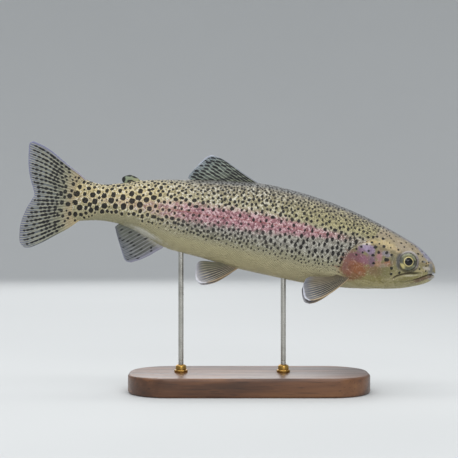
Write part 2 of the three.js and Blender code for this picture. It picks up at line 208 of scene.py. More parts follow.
@dataclass
class Body:
    """The flesh as one smooth form, and a map of its surface by station and girth.

    A girth place is 0 on the ridge of the back, -1 on the belly by way of the right side, and 1 by
    way of the left.
    """

    top: Profile = Profile((
        (0, -3.2), (2, 3.6), (7, 9.4), (14, 14.9), (24, 20.4), (36, 25.1), (50, 30.1), (70, 36.3),
        (92, 41.8), (120, 47), (150, 50.3), (176, 51.2), (205, 48.2), (250, 41.6), (285, 35.2), (312, 27.2),
        (328, 23.2), (340, 23.7), (353, 27),
    ))
    bottom: Profile = Profile((
        (0, -3.2), (1, -8), (3, -11.2), (8, -14.8), (17, -18.9), (30, -23.5), (48, -27.5), (70, -31.2),
        (95, -34), (122, -35.3), (160, -34.3), (190, -33), (225, -29.2), (250, -27.3), (260, -25.4),
        (278, -18.9), (296, -13.2), (312, -11.4), (326, -11.9), (340, -14.7), (353, -18),
    ))
    half_width: Profile = Profile((
        (0, 0), (2, 4.8), (6, 8), (14, 11.4), (27, 14.8), (44, 17.7), (65, 19.7), (90, 21.3), (125, 22.6),
        (165, 22.6), (205, 20.8), (240, 18), (270, 14.4), (300, 10.4), (322, 7.6), (340, 4.8), (353, 2),
    ))
    widest: Profile = Profile((
        (0, -3.2), (14, -1.5), (30, 0), (60, 1), (100, 4), (150, 6.5), (205, 7.5), (260, 7), (300, 6.8),
        (330, 5.5), (353, 4),
    ))
    lateral: Profile = Profile((
        (0, -1), (30, 5), (60, 11.5), (91, 14.1), (135, 14.2), (159, 14.4), (183, 13.8), (203, 13.2),
        (222, 12), (242, 11.6), (262, 10.7), (280, 10.2), (320, 8.3), (353, 5),
    ))
    end: float = 356.0
    cap: float = 3.0
    snout_fullness: float = 0.84
    body_fullness: float = 0.96
    settled: float = 110.0
    swing_from: float = 200.0
    swing_length: float = 205.0
    swing_reach: float = 9.0
    table_step: float = 0.5
    table_angles: int = 361

    def __post_init__(self) -> None:
        """Tabulates where even steps round the girth lie on each section."""
        self.stations = np.arange(0.02, self.end + self.table_step, self.table_step)
        angles = np.linspace(math.pi / 2, -math.pi / 2, self.table_angles)
        side, height = self.section(self.stations[:, None], angles[None, :])
        steps = np.hypot(np.diff(side, axis=1), np.diff(height, axis=1))
        arc = np.concatenate([np.zeros((len(steps), 1)), np.cumsum(steps, axis=1)], axis=1)
        self.half_girths = arc[:, -1]
        even = np.linspace(0.0, 1.0, self.table_angles)
        self.even_angles = np.array([np.interp(even, row / row[-1], angles) for row in arc])
        rows = self.stations
        turn = self.angle_of(rows, self.lateral(rows))
        self.lateral_arcs = np.array(
            [np.interp(-angle, -angles, run) for angle, run in zip(turn, arc)]
        )

    def fullness(self, u: Array) -> Array:
        """Exponent of a section's quarter-curves: under 1 is fuller than an ellipse."""
        share = np.minimum(u / self.settled, 1.0)
        return self.snout_fullness + (self.body_fullness - self.snout_fullness) * share

    def swing(self, u: Array) -> Array:
        """How far the middle plane swings to the left at a station."""
        return self.swing_reach * np.maximum((u - self.swing_from) / self.swing_length, 0.0) ** 2

    def section(self, u: Array, angle: Array) -> tuple[Array, Array]:
        """Half-width and height at an angle round a section, from the widest place upwards."""
        middle = self.widest(u)
        up = np.sin(angle)
        reach = np.where(up > 0, self.top(u) - middle, middle - self.bottom(u))
        shape = self.fullness(u)
        side = self.half_width(u) * np.maximum(np.cos(angle), 0.0) ** shape
        return side, middle + reach * np.sign(up) * np.abs(up) ** shape

    def angle_of(self, u: Array, v: Array) -> Array:
        """Angle round the section at a height."""
        above = v - self.widest(u)
        reach = np.where(above > 0, self.top(u) - self.widest(u), self.widest(u) - self.bottom(u))
        rise = np.clip(np.abs(above) / np.maximum(reach, 1e-3), 0.0, 1.0) ** (1 / self.fullness(u))
        return np.sign(above) * np.arcsin(rise)

    def side_at(self, u: Array, v: Array) -> Array:
        """Half-width of the flesh at a station and height, without the swing."""
        return self.section(u, self.angle_of(u, v))[0]

    def half_girth(self, u: Array) -> Array:
        """Length round the skin from the ridge to the belly."""
        return np.interp(u, self.stations, self.half_girths)

    def lateral_arc(self, u: Array) -> Array:
        """Length round the skin from the ridge to the lateral line."""
        return np.interp(u, self.stations, self.lateral_arcs)

    def surface(self, u: Array, girth: Array) -> Array:
        """Points of the surface at stations and girth places."""
        around = (girth + 1.0) % 2.0 - 1.0
        column = np.abs(around) * (self.table_angles - 1)
        row = np.clip((u - self.stations[0]) / self.table_step, 0.0, len(self.stations) - 1.001)
        i, j = row.astype(int), np.minimum(column.astype(int), self.table_angles - 2)
        a, b = row - i, column - j
        table = self.even_angles
        angle = (1 - a) * ((1 - b) * table[i, j] + b * table[i, j + 1])
        angle += a * ((1 - b) * table[i + 1, j] + b * table[i + 1, j + 1])
        side, height = self.section(u, angle)
        taper = np.clip((self.end - u) / self.cap, 0.0, 1.0)
        height = np.where(taper < 1, self.widest(u) + (height - self.widest(u)) * taper, height)
        return np.stack([u, np.sign(around) * side * taper + self.swing(u), height], axis=1)

    def normal(self, u: Array, girth: Array) -> Array:
        """Outward directions of the surface at stations and girth places."""
        du, dg = 0.25, 0.004
        along = self.surface(u + du, girth) - self.surface(np.maximum(u - du, 0.02), girth)
        around = self.surface(u, girth + dg) - self.surface(u, girth - dg)
        outward = np.cross(along, around)
        outward /= np.maximum(np.linalg.norm(outward, axis=1, keepdims=True), 1e-9)
        turned = np.sign(np.sum(outward * (self.surface(u, girth) - self.core(u)), axis=1))
        return outward * np.where(turned == 0, 1.0, turned)[:, None]

    def core(self, u: Array) -> Array:
        """Points of the line through the middles of the sections."""
        return np.stack([u, self.swing(u), self.widest(u)], axis=1)

    def outward(self, u: float, v: float, side: Side) -> Array:
        """Outward direction of one side of the flesh at a station and height."""
        step = 1.0
        place = np.array([u, u + step, u - step, u, u])
        height = np.array([v, v, v, v + step, v - step])
        wide = self.side_at(place, height)
        slope = np.array([wide[2] - wide[1], 2 * step * side.value, wide[4] - wide[3]])
        return slope / np.linalg.norm(slope)

    def on_side(self, u: float, v: float, side: Side) -> Array:
        """The point of one side of the flesh at a station and height."""
        wide = self.side_at(np.array([u]), np.array([v]))[0]
        return np.array([u, side.value * wide + float(self.swing(np.array(u))), v])

    def level(self, u: Array, v: Array) -> Array:
        """0 on the belly, a half on the lateral line and 1 on the ridge."""
        line = self.lateral(u)
        above = (v - line) / np.maximum(self.top(u) - line, 1.0)
        below = (v - line) / np.maximum(line - self.bottom(u), 1.0)
        return np.clip(0.5 + 0.5 * np.where(v > line, above, below), 0.0, 1.0)


@dataclass(frozen=True)
class Pose:
    """Where the fish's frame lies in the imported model's: pitched nose-down over the floor."""

    forward: float
    rise: float = 116.0
    pitch: float = math.radians(10.4)

    @classmethod
    def from_frame(cls, body: Body, rod_station: float = 142.0) -> "Pose":
        """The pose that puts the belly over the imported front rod.

        Args:
            body: the fish's form.
            rod_station: the station that the front rod holds.

        Returns:
            The pose.
        """
        low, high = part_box("stand_rod_front")
        belly = float(body.bottom(np.array(rod_station)))
        rod = (low.x + high.x) / 2 / MM
        return cls(rod + rod_station * math.cos(cls.pitch) - belly * math.sin(cls.pitch))

    def place(self, points: Array) -> Array:
        """Fish points in metres in the model's frame."""
        u, s, v = points.T
        cos, sin = math.cos(self.pitch), math.sin(self.pitch)
        placed = [self.forward - u * cos + v * sin, s, self.rise + u * sin + v * cos]
        return np.stack(placed, axis=1) * MM


@dataclass(frozen=True)
class EyePlan:
    """Where the eyes sit, and their size: a domed disc with a lens, seen through the lids."""

    station: float = 29.2
    height: float = 2.8
    radius: float = 9.4
    depth: float = 6.2
    proud: float = 2.3
    opening: float = 8.5

    def axes(self, body: Body, side: Side) -> tuple[Array, Array]:
        """The frame of one eye.

        Args:
            body: the fish's form.
            side: which eye.

        Returns:
            The place on the skin, and rows of its forward, upward and outward directions.
        """
        outward = body.outward(self.station, self.height, side)
        forward = np.array([-1.0, 0.0, 0.0]) + outward * outward[0]
        forward /= np.linalg.norm(forward)
        up = np.cross(forward, outward) * side.value
        if up[2] < 0:
            up = -up
        return body.on_side(self.station, self.height, side), np.stack([forward, up, outward])

    def dome(self, distance: Array) -> Array:
        """Height of the eye over the skin at a distance from its middle."""
        share = np.clip(1 - (distance / self.radius) ** 2, 0.0, 1.0)
        return self.proud - self.depth + self.depth * np.sqrt(share)


# ---- the skin's relief

SCALED_FROM = Curve((
    (50, 70), (53, 50), (56, 36), (62, 24), (68.5, 16.8), (74.5, 13.8), (81, 9.8), (87, 3.4), (91, -4.6),
    (93.2, -12), (91.9, -18.2), (86.5, -22.6), (79, -26.6), (70, -29), (60, -31.5), (52, -40),
))


@dataclass
class Relief:
    """Everything on the skin that is finer than the body's form, as heights over it."""

    body: Body
    eye: EyePlan
    mouth: Curve = Curve((
        (-4, -4.6), (2.5, -5.1), (7.8, -6.4), (11.4, -8.2), (20.8, -13.2), (25.8, -15.5), (33, -17.3),
        (42, -17.9),
    ))
    maxilla: Curve = Curve((
        (8, -5.4), (12, -5.4), (17, -6.9), (24.4, -8.5), (32.2, -10.7), (38.1, -13.9), (41.6, -17.2),
        (43, -20),
    ))
    jaw_fold: Curve = Curve(((43.4, -16.6), (45.4, -19.5), (46.8, -23.2), (46.4, -26)))
    cover: Curve = Curve((
        (63, 17.4), (65.8, 15.4), (72.6, 13.4), (79.5, 10.2), (85.8, 4.2), (89.9, -3.9), (92, -11.7),
        (90.3, -17.6), (84.9, -21.1), (76.7, -25.1), (67.8, -27.6), (58, -28.2), (49, -26.8),
    ))
    preopercle: Curve = Curve(((65, 13.5), (62, 6), (60.3, -4), (58.5, -12.5), (54, -19), (46, -22.8)))
    sutures: tuple[Curve, ...] = (
        Curve(((83.4, -1.8), (80.6, -5.4), (76.4, -8.4), (70.8, -10.2))),
        Curve(((84.9, -13.6), (83, -16.2), (80, -17.4))),
        Curve(((71.6, -13.6), (71.4, -18.2))),
    )
    nostrils: tuple[Triple, ...] = ((9.4, 2.9, 0.62), (11.5, 4.3, 0.75))
    coat_depth: float = 0.35
    deepest: float = 1.2

    def shape(self, points: Array) -> tuple[Array, Array, Array]:
        """Works out the relief at points of the bare form.

        Args:
            points: points of the body's form.

        Returns:
            Heights over the form, hollowness from 0 to 1, and nearness to a pale suture.
        """
        offset, hollow, pale = (np.zeros(len(points)) for _ in range(3))
        head = points[:, 0] < 108
        u, s, v = points[head].T
        made, seams = self.head(u, s, v)
        offset[head], pale[head] = made, seams
        rest = ~head
        offset[rest] = self.fin_bases(*points[rest].T)
        hollow[head] = np.clip(-made / self.deepest, 0.0, 1.0) ** 1.5
        return offset, hollow, pale

    def coat_inset(self, u: Array, v: Array) -> Array:
        """How far the skin lies inside the flesh, to leave room for the scales."""
        return self.coat_depth * smooth(self.behind_cover(u, v), -0.5, 1.2)

    def behind_cover(self, u: Array, v: Array) -> Array:
        """Distance behind the line that the scales start from, negative on the bare head."""
        far = np.where(u > 100, 20.0, -20.0)
        near = (u > 48) & (u <= 100)
        far[near] = SCALED_FROM.distance(u[near], v[near])[0]
        return far

    def head(self, u: Array, s: Array, v: Array) -> tuple[Array, Array]:
        """Relief of the head, and how near a place is to a suture of the gill cover."""
        features = (self.jaws, self.gill_cover, self.sockets, self.throat, self.pectoral_bases)
        seams = np.zeros(len(u))
        for line in self.sutures:
            gap, along = line.distance(u, v)
            ends = smooth(along, 0.0, 0.12) * smooth(along, 1.0, 0.88)
            seams = np.maximum(seams, bell(gap, 0.42) * ends)
        return sum(feature(u, s, v) for feature in features) - 0.12 * seams, seams

    def jaws(self, u: Array, s: Array, v: Array) -> Array:
        """The slit of the mouth, the lips, the maxilla over the jaw and the fold at its corner."""
        mouth, _ = self.mouth.distance(u, v)
        parted = smooth(u, 38, 10)
        made = -(0.35 + 1.45 * parted + 1.6 * smooth(u, 5, 1)) * bell(mouth, 0.5 + 0.4 * smooth(u, 6, 1))
        made += 0.42 * bell(mouth - 1.5, 0.9) * smooth(u, 22, 8)
        made += 0.55 * bell(mouth + 2.2, 1.3) * smooth(u, 34, 20)
        plate, _ = self.maxilla.distance(u, v)
        inside = smooth(plate, 0.15, -0.45) * smooth(mouth, 0.1, 0.8)
        made += 0.8 * inside * smooth(u, 10, 17) * smooth(u, 44.6, 43.2)
        made -= 1.5 * bell(plate - 0.8, 0.85) * smooth(u, 13, 21) * smooth(u, 44, 39) * (v < -4)
        fold, _ = self.jaw_fold.distance(u, v)
        return made - 0.3 * bell(fold, 0.9) * (v < -15)

    def gill_cover(self, u: Array, s: Array, v: Array) -> Array:
        """The gill cover's raised free edge, the groove behind it and the folds in its plates."""
        edge, along = self.cover.distance(u, v)
        inside = -edge
        rear = smooth(along, 0.02, 0.16) * (0.35 + 0.65 * smooth(along, 0.6, 0.45))
        made = 0.7 * smooth(inside, -0.3, 0.5) * bell(np.maximum(inside, 0), 14.0) * rear
        made -= 0.75 * bell(inside + 0.75, 0.55) * rear
        made += 0.2 * bell(inside - 0.9, 0.8) * rear
        front, share = self.preopercle.distance(u, v)
        ends = smooth(share, 0.0, 0.1) * smooth(share, 1.0, 0.9)
        made += ends * (0.3 * smooth(front, 0.5, -0.5) * bell(front, 4.0) - 0.38 * bell(front - 0.3, 0.7))
        low = smooth(along, 0.55, 0.65) * smooth(inside, 0.2, 1.0) * smooth(inside, 11, 7)
        made += 0.22 * low * np.cos(2 * math.pi * inside / 2.6) * smooth(u, 46, 52)
        cheek = np.hypot(u - self.eye.station, v - self.eye.height)
        arcs = np.cos(2 * math.pi * (cheek - 13.5) / 5.0) * smooth(u, 36, 42) * smooth(u, 62, 54)
        return made + 0.12 * arcs * smooth(v, 9, 3) * smooth(v, -16, -10)

    def sockets(self, u: Array, s: Array, v: Array) -> Array:
        """The eye sockets with their lids, and the two pairs of nostrils."""
        made = np.zeros(len(u))
        points = np.stack([u, s, v], axis=1)
        for side in Side:
            middle, axes = self.eye.axes(self.body, side)
            local = (points - middle) @ axes.T
            gap = np.hypot(local[:, 0], local[:, 1])
            near = (s * side.value > 0) & (u < 50)
            brim = float(self.eye.dome(np.array(self.eye.opening))) + 0.25
            rest = smooth(gap, self.eye.opening + 4.6, self.eye.opening + 0.6)
            lift = (brim - local[:, 2]) * rest
            lift += 0.28 * bell(gap - self.eye.opening - 0.9, 0.55)
            lift -= 0.22 * bell(gap - self.eye.opening - 2.2, 0.6)
            lift -= 4.2 * smooth(gap, self.eye.opening, self.eye.opening - 0.8)
            made = np.where(near & (gap < 18), lift, made)
            for station, height, radius in self.nostrils:
                hole = self.body.on_side(station, height, side)
                away = np.linalg.norm(points - hole, axis=1)
                hollow = 1.5 * smooth(away, radius + 0.25, radius - 0.35)
                made += 0.3 * bell(away - radius - 0.5, 0.45) - hollow
        return made

    def throat(self, u: Array, s: Array, v: Array) -> Array:
        """The grooves under the lower jaw, where its two halves meet the throat."""
        wide = self.body.half_width(u)
        under = smooth(v, -6, -12) * smooth(u, 6, 14) * smooth(u, 52, 44)
        line = np.abs(np.abs(s) - 0.36 * wide - 0.6)
        return -0.4 * bell(line, 0.8) * under * smooth(v, self.body.bottom(u) + 6, self.body.bottom(u) + 3)

    def pectoral_bases(self, u: Array, s: Array, v: Array) -> Array:
        """The swelling that each pectoral fin grows from."""
        root, _ = Curve(((81.5, -21.5), (86, -19.6), (92.5, -18.6))).distance(u, v)
        side = np.abs(s) > 4
        return (0.5 * bell(root, 2.2) - 0.5 * bell(root + 2.0, 0.7)) * side

    def fin_bases(self, u: Array, s: Array, v: Array) -> Array:
        """The swellings that the fins of the trunk grow from, and the vent."""
        made = np.zeros(len(u))
        off = np.abs(s - self.body.swing(u))
        near = (u > 176) & (u < 206) & (v < -20)
        root, _ = Curve(((184, -31.5), (191, -30.2), (200, -29))).distance(u[near], v[near])
        made[near] = 0.6 * bell(root, 2.0) * smooth(off[near], 2.5, 5.0)
        along_back = smooth(u, 176, 182) * smooth(u, 252, 246) + smooth(u, 290, 294) * smooth(u, 308, 304)
        made += 0.55 * bell(off, 2.6) * along_back * (v > 10)
        along_belly = smooth(u, 257, 262) * smooth(u, 306, 300)
        made += 0.55 * bell(off, 2.2) * along_belly * (v < 0)
        vent = np.hypot(u - 254.5, off)
        return made + (0.5 * bell(vent, 2.2) - 0.9 * bell(vent, 0.9)) * (v < -15)


# ---- markings


@dataclass(frozen=True)
class TailSpots:
    """The tail's large spots, on its stalk and over the root of its fin."""

    seed: int = 11
    span: Pair = (286.5, 370.0)
    top: Profile = Profile((
        (286, 31), (300, 27), (312, 23), (330, 20), (342, 22), (352, 26), (362, 31), (371, 35),
    ))
    bottom: Profile = Profile((
        (286, -3), (312, -4), (326, -6), (336, -10), (345, -15), (358, -23), (371, -30),
    ))
    radii: tuple[float, ...] = (2.6, 2.2, 1.8, 1.4, 1.1, 0.85)
    tries: int = 320
    gap: float = 1.35

    def grown(self) -> Ovals:
        """Sets the largest first, each where it keeps its gap, and smaller ones in what is left.

        Returns:
            Station, height and the two radii of each spot.
        """
        random = np.random.default_rng(self.seed)
        spots: list[Oval] = []
        for radius in self.radii:
            for _ in range(self.tries):
                u = random.uniform(*self.span)
                low, high = float(self.bottom(u)), float(self.top(u))
                share = random.uniform(0, 1)
                v = low + share * (high - low)
                largest = 0.9 + 2.0 * math.sin(math.pi * share) ** 0.7 - 0.07 * max(u - 350, 0)
                clear = all(
                    math.hypot(u - x, v - y) > radius + 0.5 * (long + tall) + self.gap
                    for x, y, long, tall in spots
                )
                if radius < largest and clear:
                    long, tall = radius * random.uniform(0.85, 1.1), radius * random.uniform(0.9, 1.15)
                    spots.append((u, v, long, tall))
        return tuple(spots)


TAIL_SPOTS = TailSpots().grown()
"""Grown once, as the stalk's skin and the tail fin share them."""


@dataclass
class Markings:
    """The dark spots and the pink stripe, as values at points that skin and scales share."""

    body: Body
    relief: Relief
    seed: int = 41
    chief_spots: tuple[Triple, ...] = (
        (21.5, -2, 1.95), (22.5, 4.5, 1.45), (15.5, -9, 1.35), (14.5, -14.5, 1.2), (7, -12, 1.2),
        (17.5, 3.5, 1.05), (33, -7.5, 1.3), (35, 0, 1.2), (30, 3.5, 1.2), (34, 8, 1.5), (26, 10, 1.35),
        (28, 17, 1.2), (12, 9.5, 1.0), (-8, 9, 1.05),
    )
    small_gap: float = 4.4
    small_tries: int = 900
    eye_margin: float = 12.0
    small_floor: Profile = Profile(((8, -5), (19, -4), (22, 9), (34, 11), (48, 13), (58, 4), (82, 0)))
    stripe_half: Profile = Profile((
        (0, 2), (91, 3.2), (110, 3.6), (135, 6), (159, 7.6), (183, 8.4), (203, 8.6), (242, 8.2), (262, 7.4),
        (280, 5.4), (320, 4), (353, 3),
    ))
    stripe_shown: Profile = Profile((
        (0, 0), (86, 0.1), (98, 0.55), (112, 0.85), (140, 1), (240, 1), (262, 0.8), (285, 0.45), (310, 0.2),
        (330, 0), (353, 0),
    ))
    lowest_spot: Profile = Profile((
        (0, -10), (70, -8), (90, -19), (110, -20), (129, -19.5), (149, -17.5), (188, -14.5), (228, -12.5),
        (260, -7), (285, -7), (326, -10), (353, -14),
    ))
    size_along: Profile = Profile((
        (0, 0.8), (60, 0.8), (85, 1.0), (120, 1.05), (200, 1.05), (240, 1.15), (270, 1.35), (290, 1.6),
        (310, 1.8), (350, 1.85),
    ))
    sizes_up: Points = (
        (0, 0.35), (0.18, 0.55), (0.24, 0.9), (0.3, 1.2), (0.36, 1.4), (0.42, 1.45), (0.47, 1.25),
        (0.53, 1.3), (0.6, 1.5), (0.7, 1.25), (0.8, 1.05), (0.92, 0.9), (1, 0.85),
    )
    tail_sizes_up: Points = (
        (0, 0.45), (0.15, 0.6), (0.3, 1.15), (0.5, 1.4), (0.8, 1.3), (0.93, 0.9), (1, 0.7),
    )
    tries: int = 70000
    reach: float = 2.2

    def __post_init__(self) -> None:
        """Scatters the spots once: head spots by place, the others as evenly as on a real fish."""
        placed = np.array(list(self.placed_spots()))
        self.spots = np.concatenate([placed, np.array(list(self.scattered_spots(placed)))])

    def head_spots(self, random: np.random.Generator) -> list[Triple]:
        """The head's spots: the chief ones counted from the eye, and small ones strewn above the cheek."""
        eye = self.relief.eye
        spots = [(eye.station + back, eye.height + up, radius) for back, up, radius in self.chief_spots]
        for _ in range(self.small_tries):
            u, v = random.uniform(9, 82), random.uniform(-6, 36)
            radius = random.uniform(0.5, 0.8) * (1 + 0.35 * float(smooth(u, 52, 66)))
            room = self.small_gap * (1 - 0.15 * float(smooth(v, 14, 24)))
            inside = self.small_floor(u) < v < self.body.top(u) - 1.2
            off_eye = math.hypot(u - eye.station, v - eye.height) > self.eye_margin
            on_head = self.relief.behind_cover(np.array([u]), np.array([v]))[0] < -0.8
            clear = all(math.hypot(u - x, v - y) > room + 0.6 * (other - 0.6) for x, y, other in spots)
            if inside and off_eye and on_head and clear:
                spots.append((u, v, radius))
        return spots

    def placed_spots(self) -> Iterable[list[float]]:
        """The head's and the tail's spots, a little moved on the left side."""
        random = np.random.default_rng(self.seed)
        for side in Side:
            moved = 0.0 if side is Side.RIGHT else 1.6
            for u, v, radius in self.head_spots(random):
                du, dv = random.uniform(-moved, moved, 2)
                place = self.body.on_side(u + du, v + dv, side)
                wide = radius * random.uniform(0.95, 1.15)
                yield [*place, wide, radius * random.uniform(0.9, 1.05), 2.0]
            for u, v, long, tall in TAIL_SPOTS:
                if u < self.body.end - 2:
                    du, dv = 0.5 * random.uniform(-moved, moved, 2)
                    yield [*self.body.on_side(u + du, v + dv, side), long * 1.05, tall * 1.05, 2.3]

    def scattered_spots(self, fixed: Array) -> Iterable[list[float]]:
        """Spots thrown at random, each kept only where it leaves room between its neighbours.

        Args:
            fixed: the spots that are already placed.

        Returns:
            Place, two radii and power of each.
        """
        random = np.random.default_rng(self.seed + 1)
        u = random.uniform(50, 351, self.tries)
        arc = random.uniform(-1, 1, self.tries) * self.body.half_girths.max()
        inside = np.abs(arc) < self.body.half_girth(u)
        u, arc = u[inside], arc[inside]
        place = self.body.surface(u, arc / self.body.half_girth(u))
        v = place[:, 2]
        level = self.body.level(u, v)
        tailwards = smooth(u, 255, 295)
        body_size, tail_size = (
            np.interp(level, *np.array(sizes).T) for sizes in (self.sizes_up, self.tail_sizes_up)
        )
        size = body_size + (tail_size - body_size) * tailwards
        shoulder = smooth(u, 190, 120) * smooth(level, 0.24, 0.32) * smooth(level, 0.6, 0.5)
        size = size * (1 + 0.3 * shoulder) * self.size_along(u) * random.uniform(0.72, 1.25, len(u))
        over = v - self.lowest_spot(u)
        size *= 0.4 + 0.6 * smooth(over, -1.0, 4.0)
        stripe = np.abs(v - self.body.lateral(u)) / self.stripe_half(u)
        on_stripe = smooth(stripe, 1.25, 0.75) * self.stripe_shown(u)
        nape = smooth(u, 160, 115) * smooth(level, 0.54, 0.62)
        below = smooth(u, 215, 170) * smooth(level, 0.5, 0.44)
        above = smooth(level, 0.54, 0.62) * smooth(u, 290, 270)
        size *= (1 - 0.2 * nape) * (1 + 0.1 * above) * (1 - 0.15 * on_stripe)
        room = 1.95 * size + 0.75 + 2.2 * on_stripe + 0.9 * smooth(over, 7.0, 0.0)
        room += 0.4 * nape + 0.15 * above + 0.5 * below
        keep = (over > -3.0) & (self.relief.behind_cover(u, v) > 0.5)
        keep &= (u < 286) | (level > 0.93)
        keep |= (u < 62) & (v > self.body.top(u) - 9) & (u > 50)
        keep &= random.uniform(0, 1, len(u)) > 0.75 * smooth(over, 3.0, -3.0)
        tall = 1 + 0.45 * shoulder + 0.2 * smooth(u, 240, 200) + 0.2 * random.normal(0, 1, len(u))
        tall = np.clip(tall, 0.75, 1.8)
        power = np.where(shoulder > 0.4, 1.6, random.uniform(1.7, 2.4, len(u)))
        taken = np.concatenate([fixed[:, :3], np.zeros((self.tries, 3))])
        rooms = np.concatenate([2.1 * fixed[:, 3] + 1.3, np.zeros(self.tries)])
        count = len(fixed)
        for i in np.nonzero(keep)[0]:
            gap = np.linalg.norm(taken[:count] - place[i], axis=1)
            if np.all(gap > 0.5 * (rooms[:count] + room[i])):
                taken[count], rooms[count] = place[i], room[i]
                count += 1
                yield [*place[i], size[i] / math.sqrt(tall[i]), size[i] * math.sqrt(tall[i]), power[i]]

    def spot_edge(self, points: Array) -> Array:
        """How far each point is outside the nearest dark spot, in millimetres."""
        order = np.argsort(points[:, 0])
        ranked = points[order]
        edge = np.full(len(points), self.reach)
        for u, s, v, wide, tall, power in self.spots:
            span = wide + self.reach
            low, high = np.searchsorted(ranked[:, 0], (u - span, u + span))
            near = ranked[low:high]
            along = np.abs(near[:, 0] - u)
            square = (near[:, 1] - s) ** 2 + (near[:, 2] - v) ** 2
            close = square < (tall + self.reach) ** 2
            along, across = along[close], np.sqrt(square[close])
            gauge = ((along / wide) ** power + (across / tall) ** power) ** (1 / power)
            part = edge[low:high]
            part[close] = np.minimum(part[close], (gauge - 1) * min(wide, tall))
        unsorted = np.empty(len(points))
        unsorted[order] = edge
        return unsorted

    def write(self, mesh: bpy.types.Mesh, points: Array, hollow: Array, pale: Array) -> None:
        """Writes what the skin's finish reads.

        Args:
            mesh: the mesh that gets the attributes.
            points: its vertices in the fish's frame.
            hollow: how hollow the skin is at each.
            pale: how near each is to a pale suture.
        """
        u, s, v = points.T
        lateral = self.body.lateral(u)
        behind = self.relief.behind_cover(u, v)
        write_attribute(mesh, "place", u, self.body.level(u, v), behind)
        write_attribute(mesh, "band", (v - lateral) / self.stripe_half(u), v - lateral, self.stripe_shown(u))
        write_attribute(mesh, "marks", self.spot_edge(points), hollow, pale)
        write_attribute(mesh, "flat", u, s, v)


# ---- meshes


def deselect_all() -> None:
    """Leaves nothing selected, so that an operator acts on the next primitive alone."""
    bpy.ops.object.select_all(action="DESELECT")


def choose(piece: Piece) -> None:
    """Selects one piece alone, and makes it active."""
    deselect_all()
    piece.select_set(True)
    bpy.context.view_layer.objects.active = piece


def added(name: str) -> Piece:
    """The primitive just added, with a name, at the origin with its place in its mesh."""
    piece = bpy.context.object
    piece.name = name
    piece.data.name = name
    bpy.ops.object.transform_apply(location=True, rotation=True, scale=True)
    return piece


def vertices_of(piece: Piece) -> Array:
    """A piece's vertices, one row each."""
    flat = np.empty(len(piece.data.vertices) * 3, np.float32)
    piece.data.vertices.foreach_get("co", flat)
    return flat.reshape(-1, 3).astype(float)


def move_vertices(piece: Piece, points: Array) -> None:
    """Puts a piece's vertices at new places."""
    piece.data.vertices.foreach_set("co", np.ascontiguousarray(points, np.float32).ravel())
    piece.data.update()


def write_attribute(mesh: bpy.types.Mesh, name: str, *columns: Array) -> None:
    """Writes a vector for each vertex, from its three parts."""
    layer = mesh.attributes.new(name, "FLOAT_VECTOR", "POINT")
    layer.data.foreach_set("vector", np.stack(columns, axis=1).astype(np.float32).ravel())


def edit(piece: Piece, work: Callable[[], object], mode: str = "VERT") -> None:
    """Runs an operator in edit mode on a piece, all of it selected."""
    choose(piece)
    bpy.ops.object.mode_set(mode="EDIT")
    bpy.ops.mesh.select_mode(type=mode)
    bpy.ops.mesh.select_all(action="SELECT")
    work()
    bpy.ops.object.mode_set(mode="OBJECT")


def edit_picked(
    piece: Piece, mode: str, picked: Callable[[object], bool], *work: Callable[[], object]
) -> None:
    """Runs operators in edit mode on the edges or faces that a test picks.

    Args:
        piece: the piece to edit.
        mode: EDGE or FACE.
        picked: says whether an edge or a face is wanted.
        work: the operators, run in order.
    """
    choose(piece)
    bpy.ops.object.mode_set(mode="EDIT")
    bpy.ops.mesh.select_mode(type=mode)
    bpy.ops.mesh.select_all(action="DESELECT")
    bpy.ops.object.mode_set(mode="OBJECT")
    for item in piece.data.edges if mode == "EDGE" else piece.data.polygons:
        item.select = picked(item)
    bpy.ops.object.mode_set(mode="EDIT")
    for step in work:
        step()
    bpy.ops.object.mode_set(mode="OBJECT")


def extrude(
    piece: Piece, mode: str, picked: Callable[[object], bool], rise: float, widen: float, centre: Triple
) -> None:
    """Extrudes picked edges or faces upwards, and widens the new ones.

    Args:
        piece: the piece to edit.
        mode: EDGE or FACE.
        picked: says whether an edge or a face is wanted.
        rise: how far up.
        widen: the factor sideways.
        centre: what they widen about.
    """
    grow = bpy.ops.mesh.extrude_edges_move if mode == "EDGE" else bpy.ops.mesh.extrude_region_move
    edit_picked(
        piece, mode, picked,
        lambda: grow(TRANSFORM_OT_translate={"value": (0, 0, 0)}),
        lambda: bpy.ops.transform.translate(value=(0, 0, rise)),
        lambda: bpy.ops.transform.resize(value=(widen, widen, 1), center_override=centre),
    )


def face_outwards(piece: Piece) -> None:
    """Turns all the normals of a closed piece outwards."""
    edit(piece, lambda: bpy.ops.mesh.normals_make_consistent(inside=False))


def apply_modifiers(piece: Piece) -> None:
    """Applies a piece's modifiers in order."""
    choose(piece)
    for modifier in list(piece.modifiers):
        bpy.ops.object.modifier_apply(modifier=modifier.name)


def shade(piece: Piece, degrees: float = 180.0) -> None:
    """Shades a piece smooth, with an edge kept sharp where it turns by more than an angle."""
    choose(piece)
    if degrees >= 180:
        bpy.ops.object.shade_smooth()
    else:
        bpy.ops.object.shade_smooth_by_angle(angle=math.radians(degrees))


def enter(piece: Piece, slot: Slot, finish: Material, *nodes: str) -> None:
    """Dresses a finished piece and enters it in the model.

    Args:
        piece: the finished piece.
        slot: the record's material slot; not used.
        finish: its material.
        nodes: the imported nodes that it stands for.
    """
    piece.data.materials.clear()
    piece.data.materials.append(finish)
    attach(piece, BODY)
    if nodes:
        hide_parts(*nodes)
    triangles = sum(face.loop_total - 2 for face in piece.data.polygons)
    log.info("%s: %d triangles", piece.name, triangles)


# ---- finishes


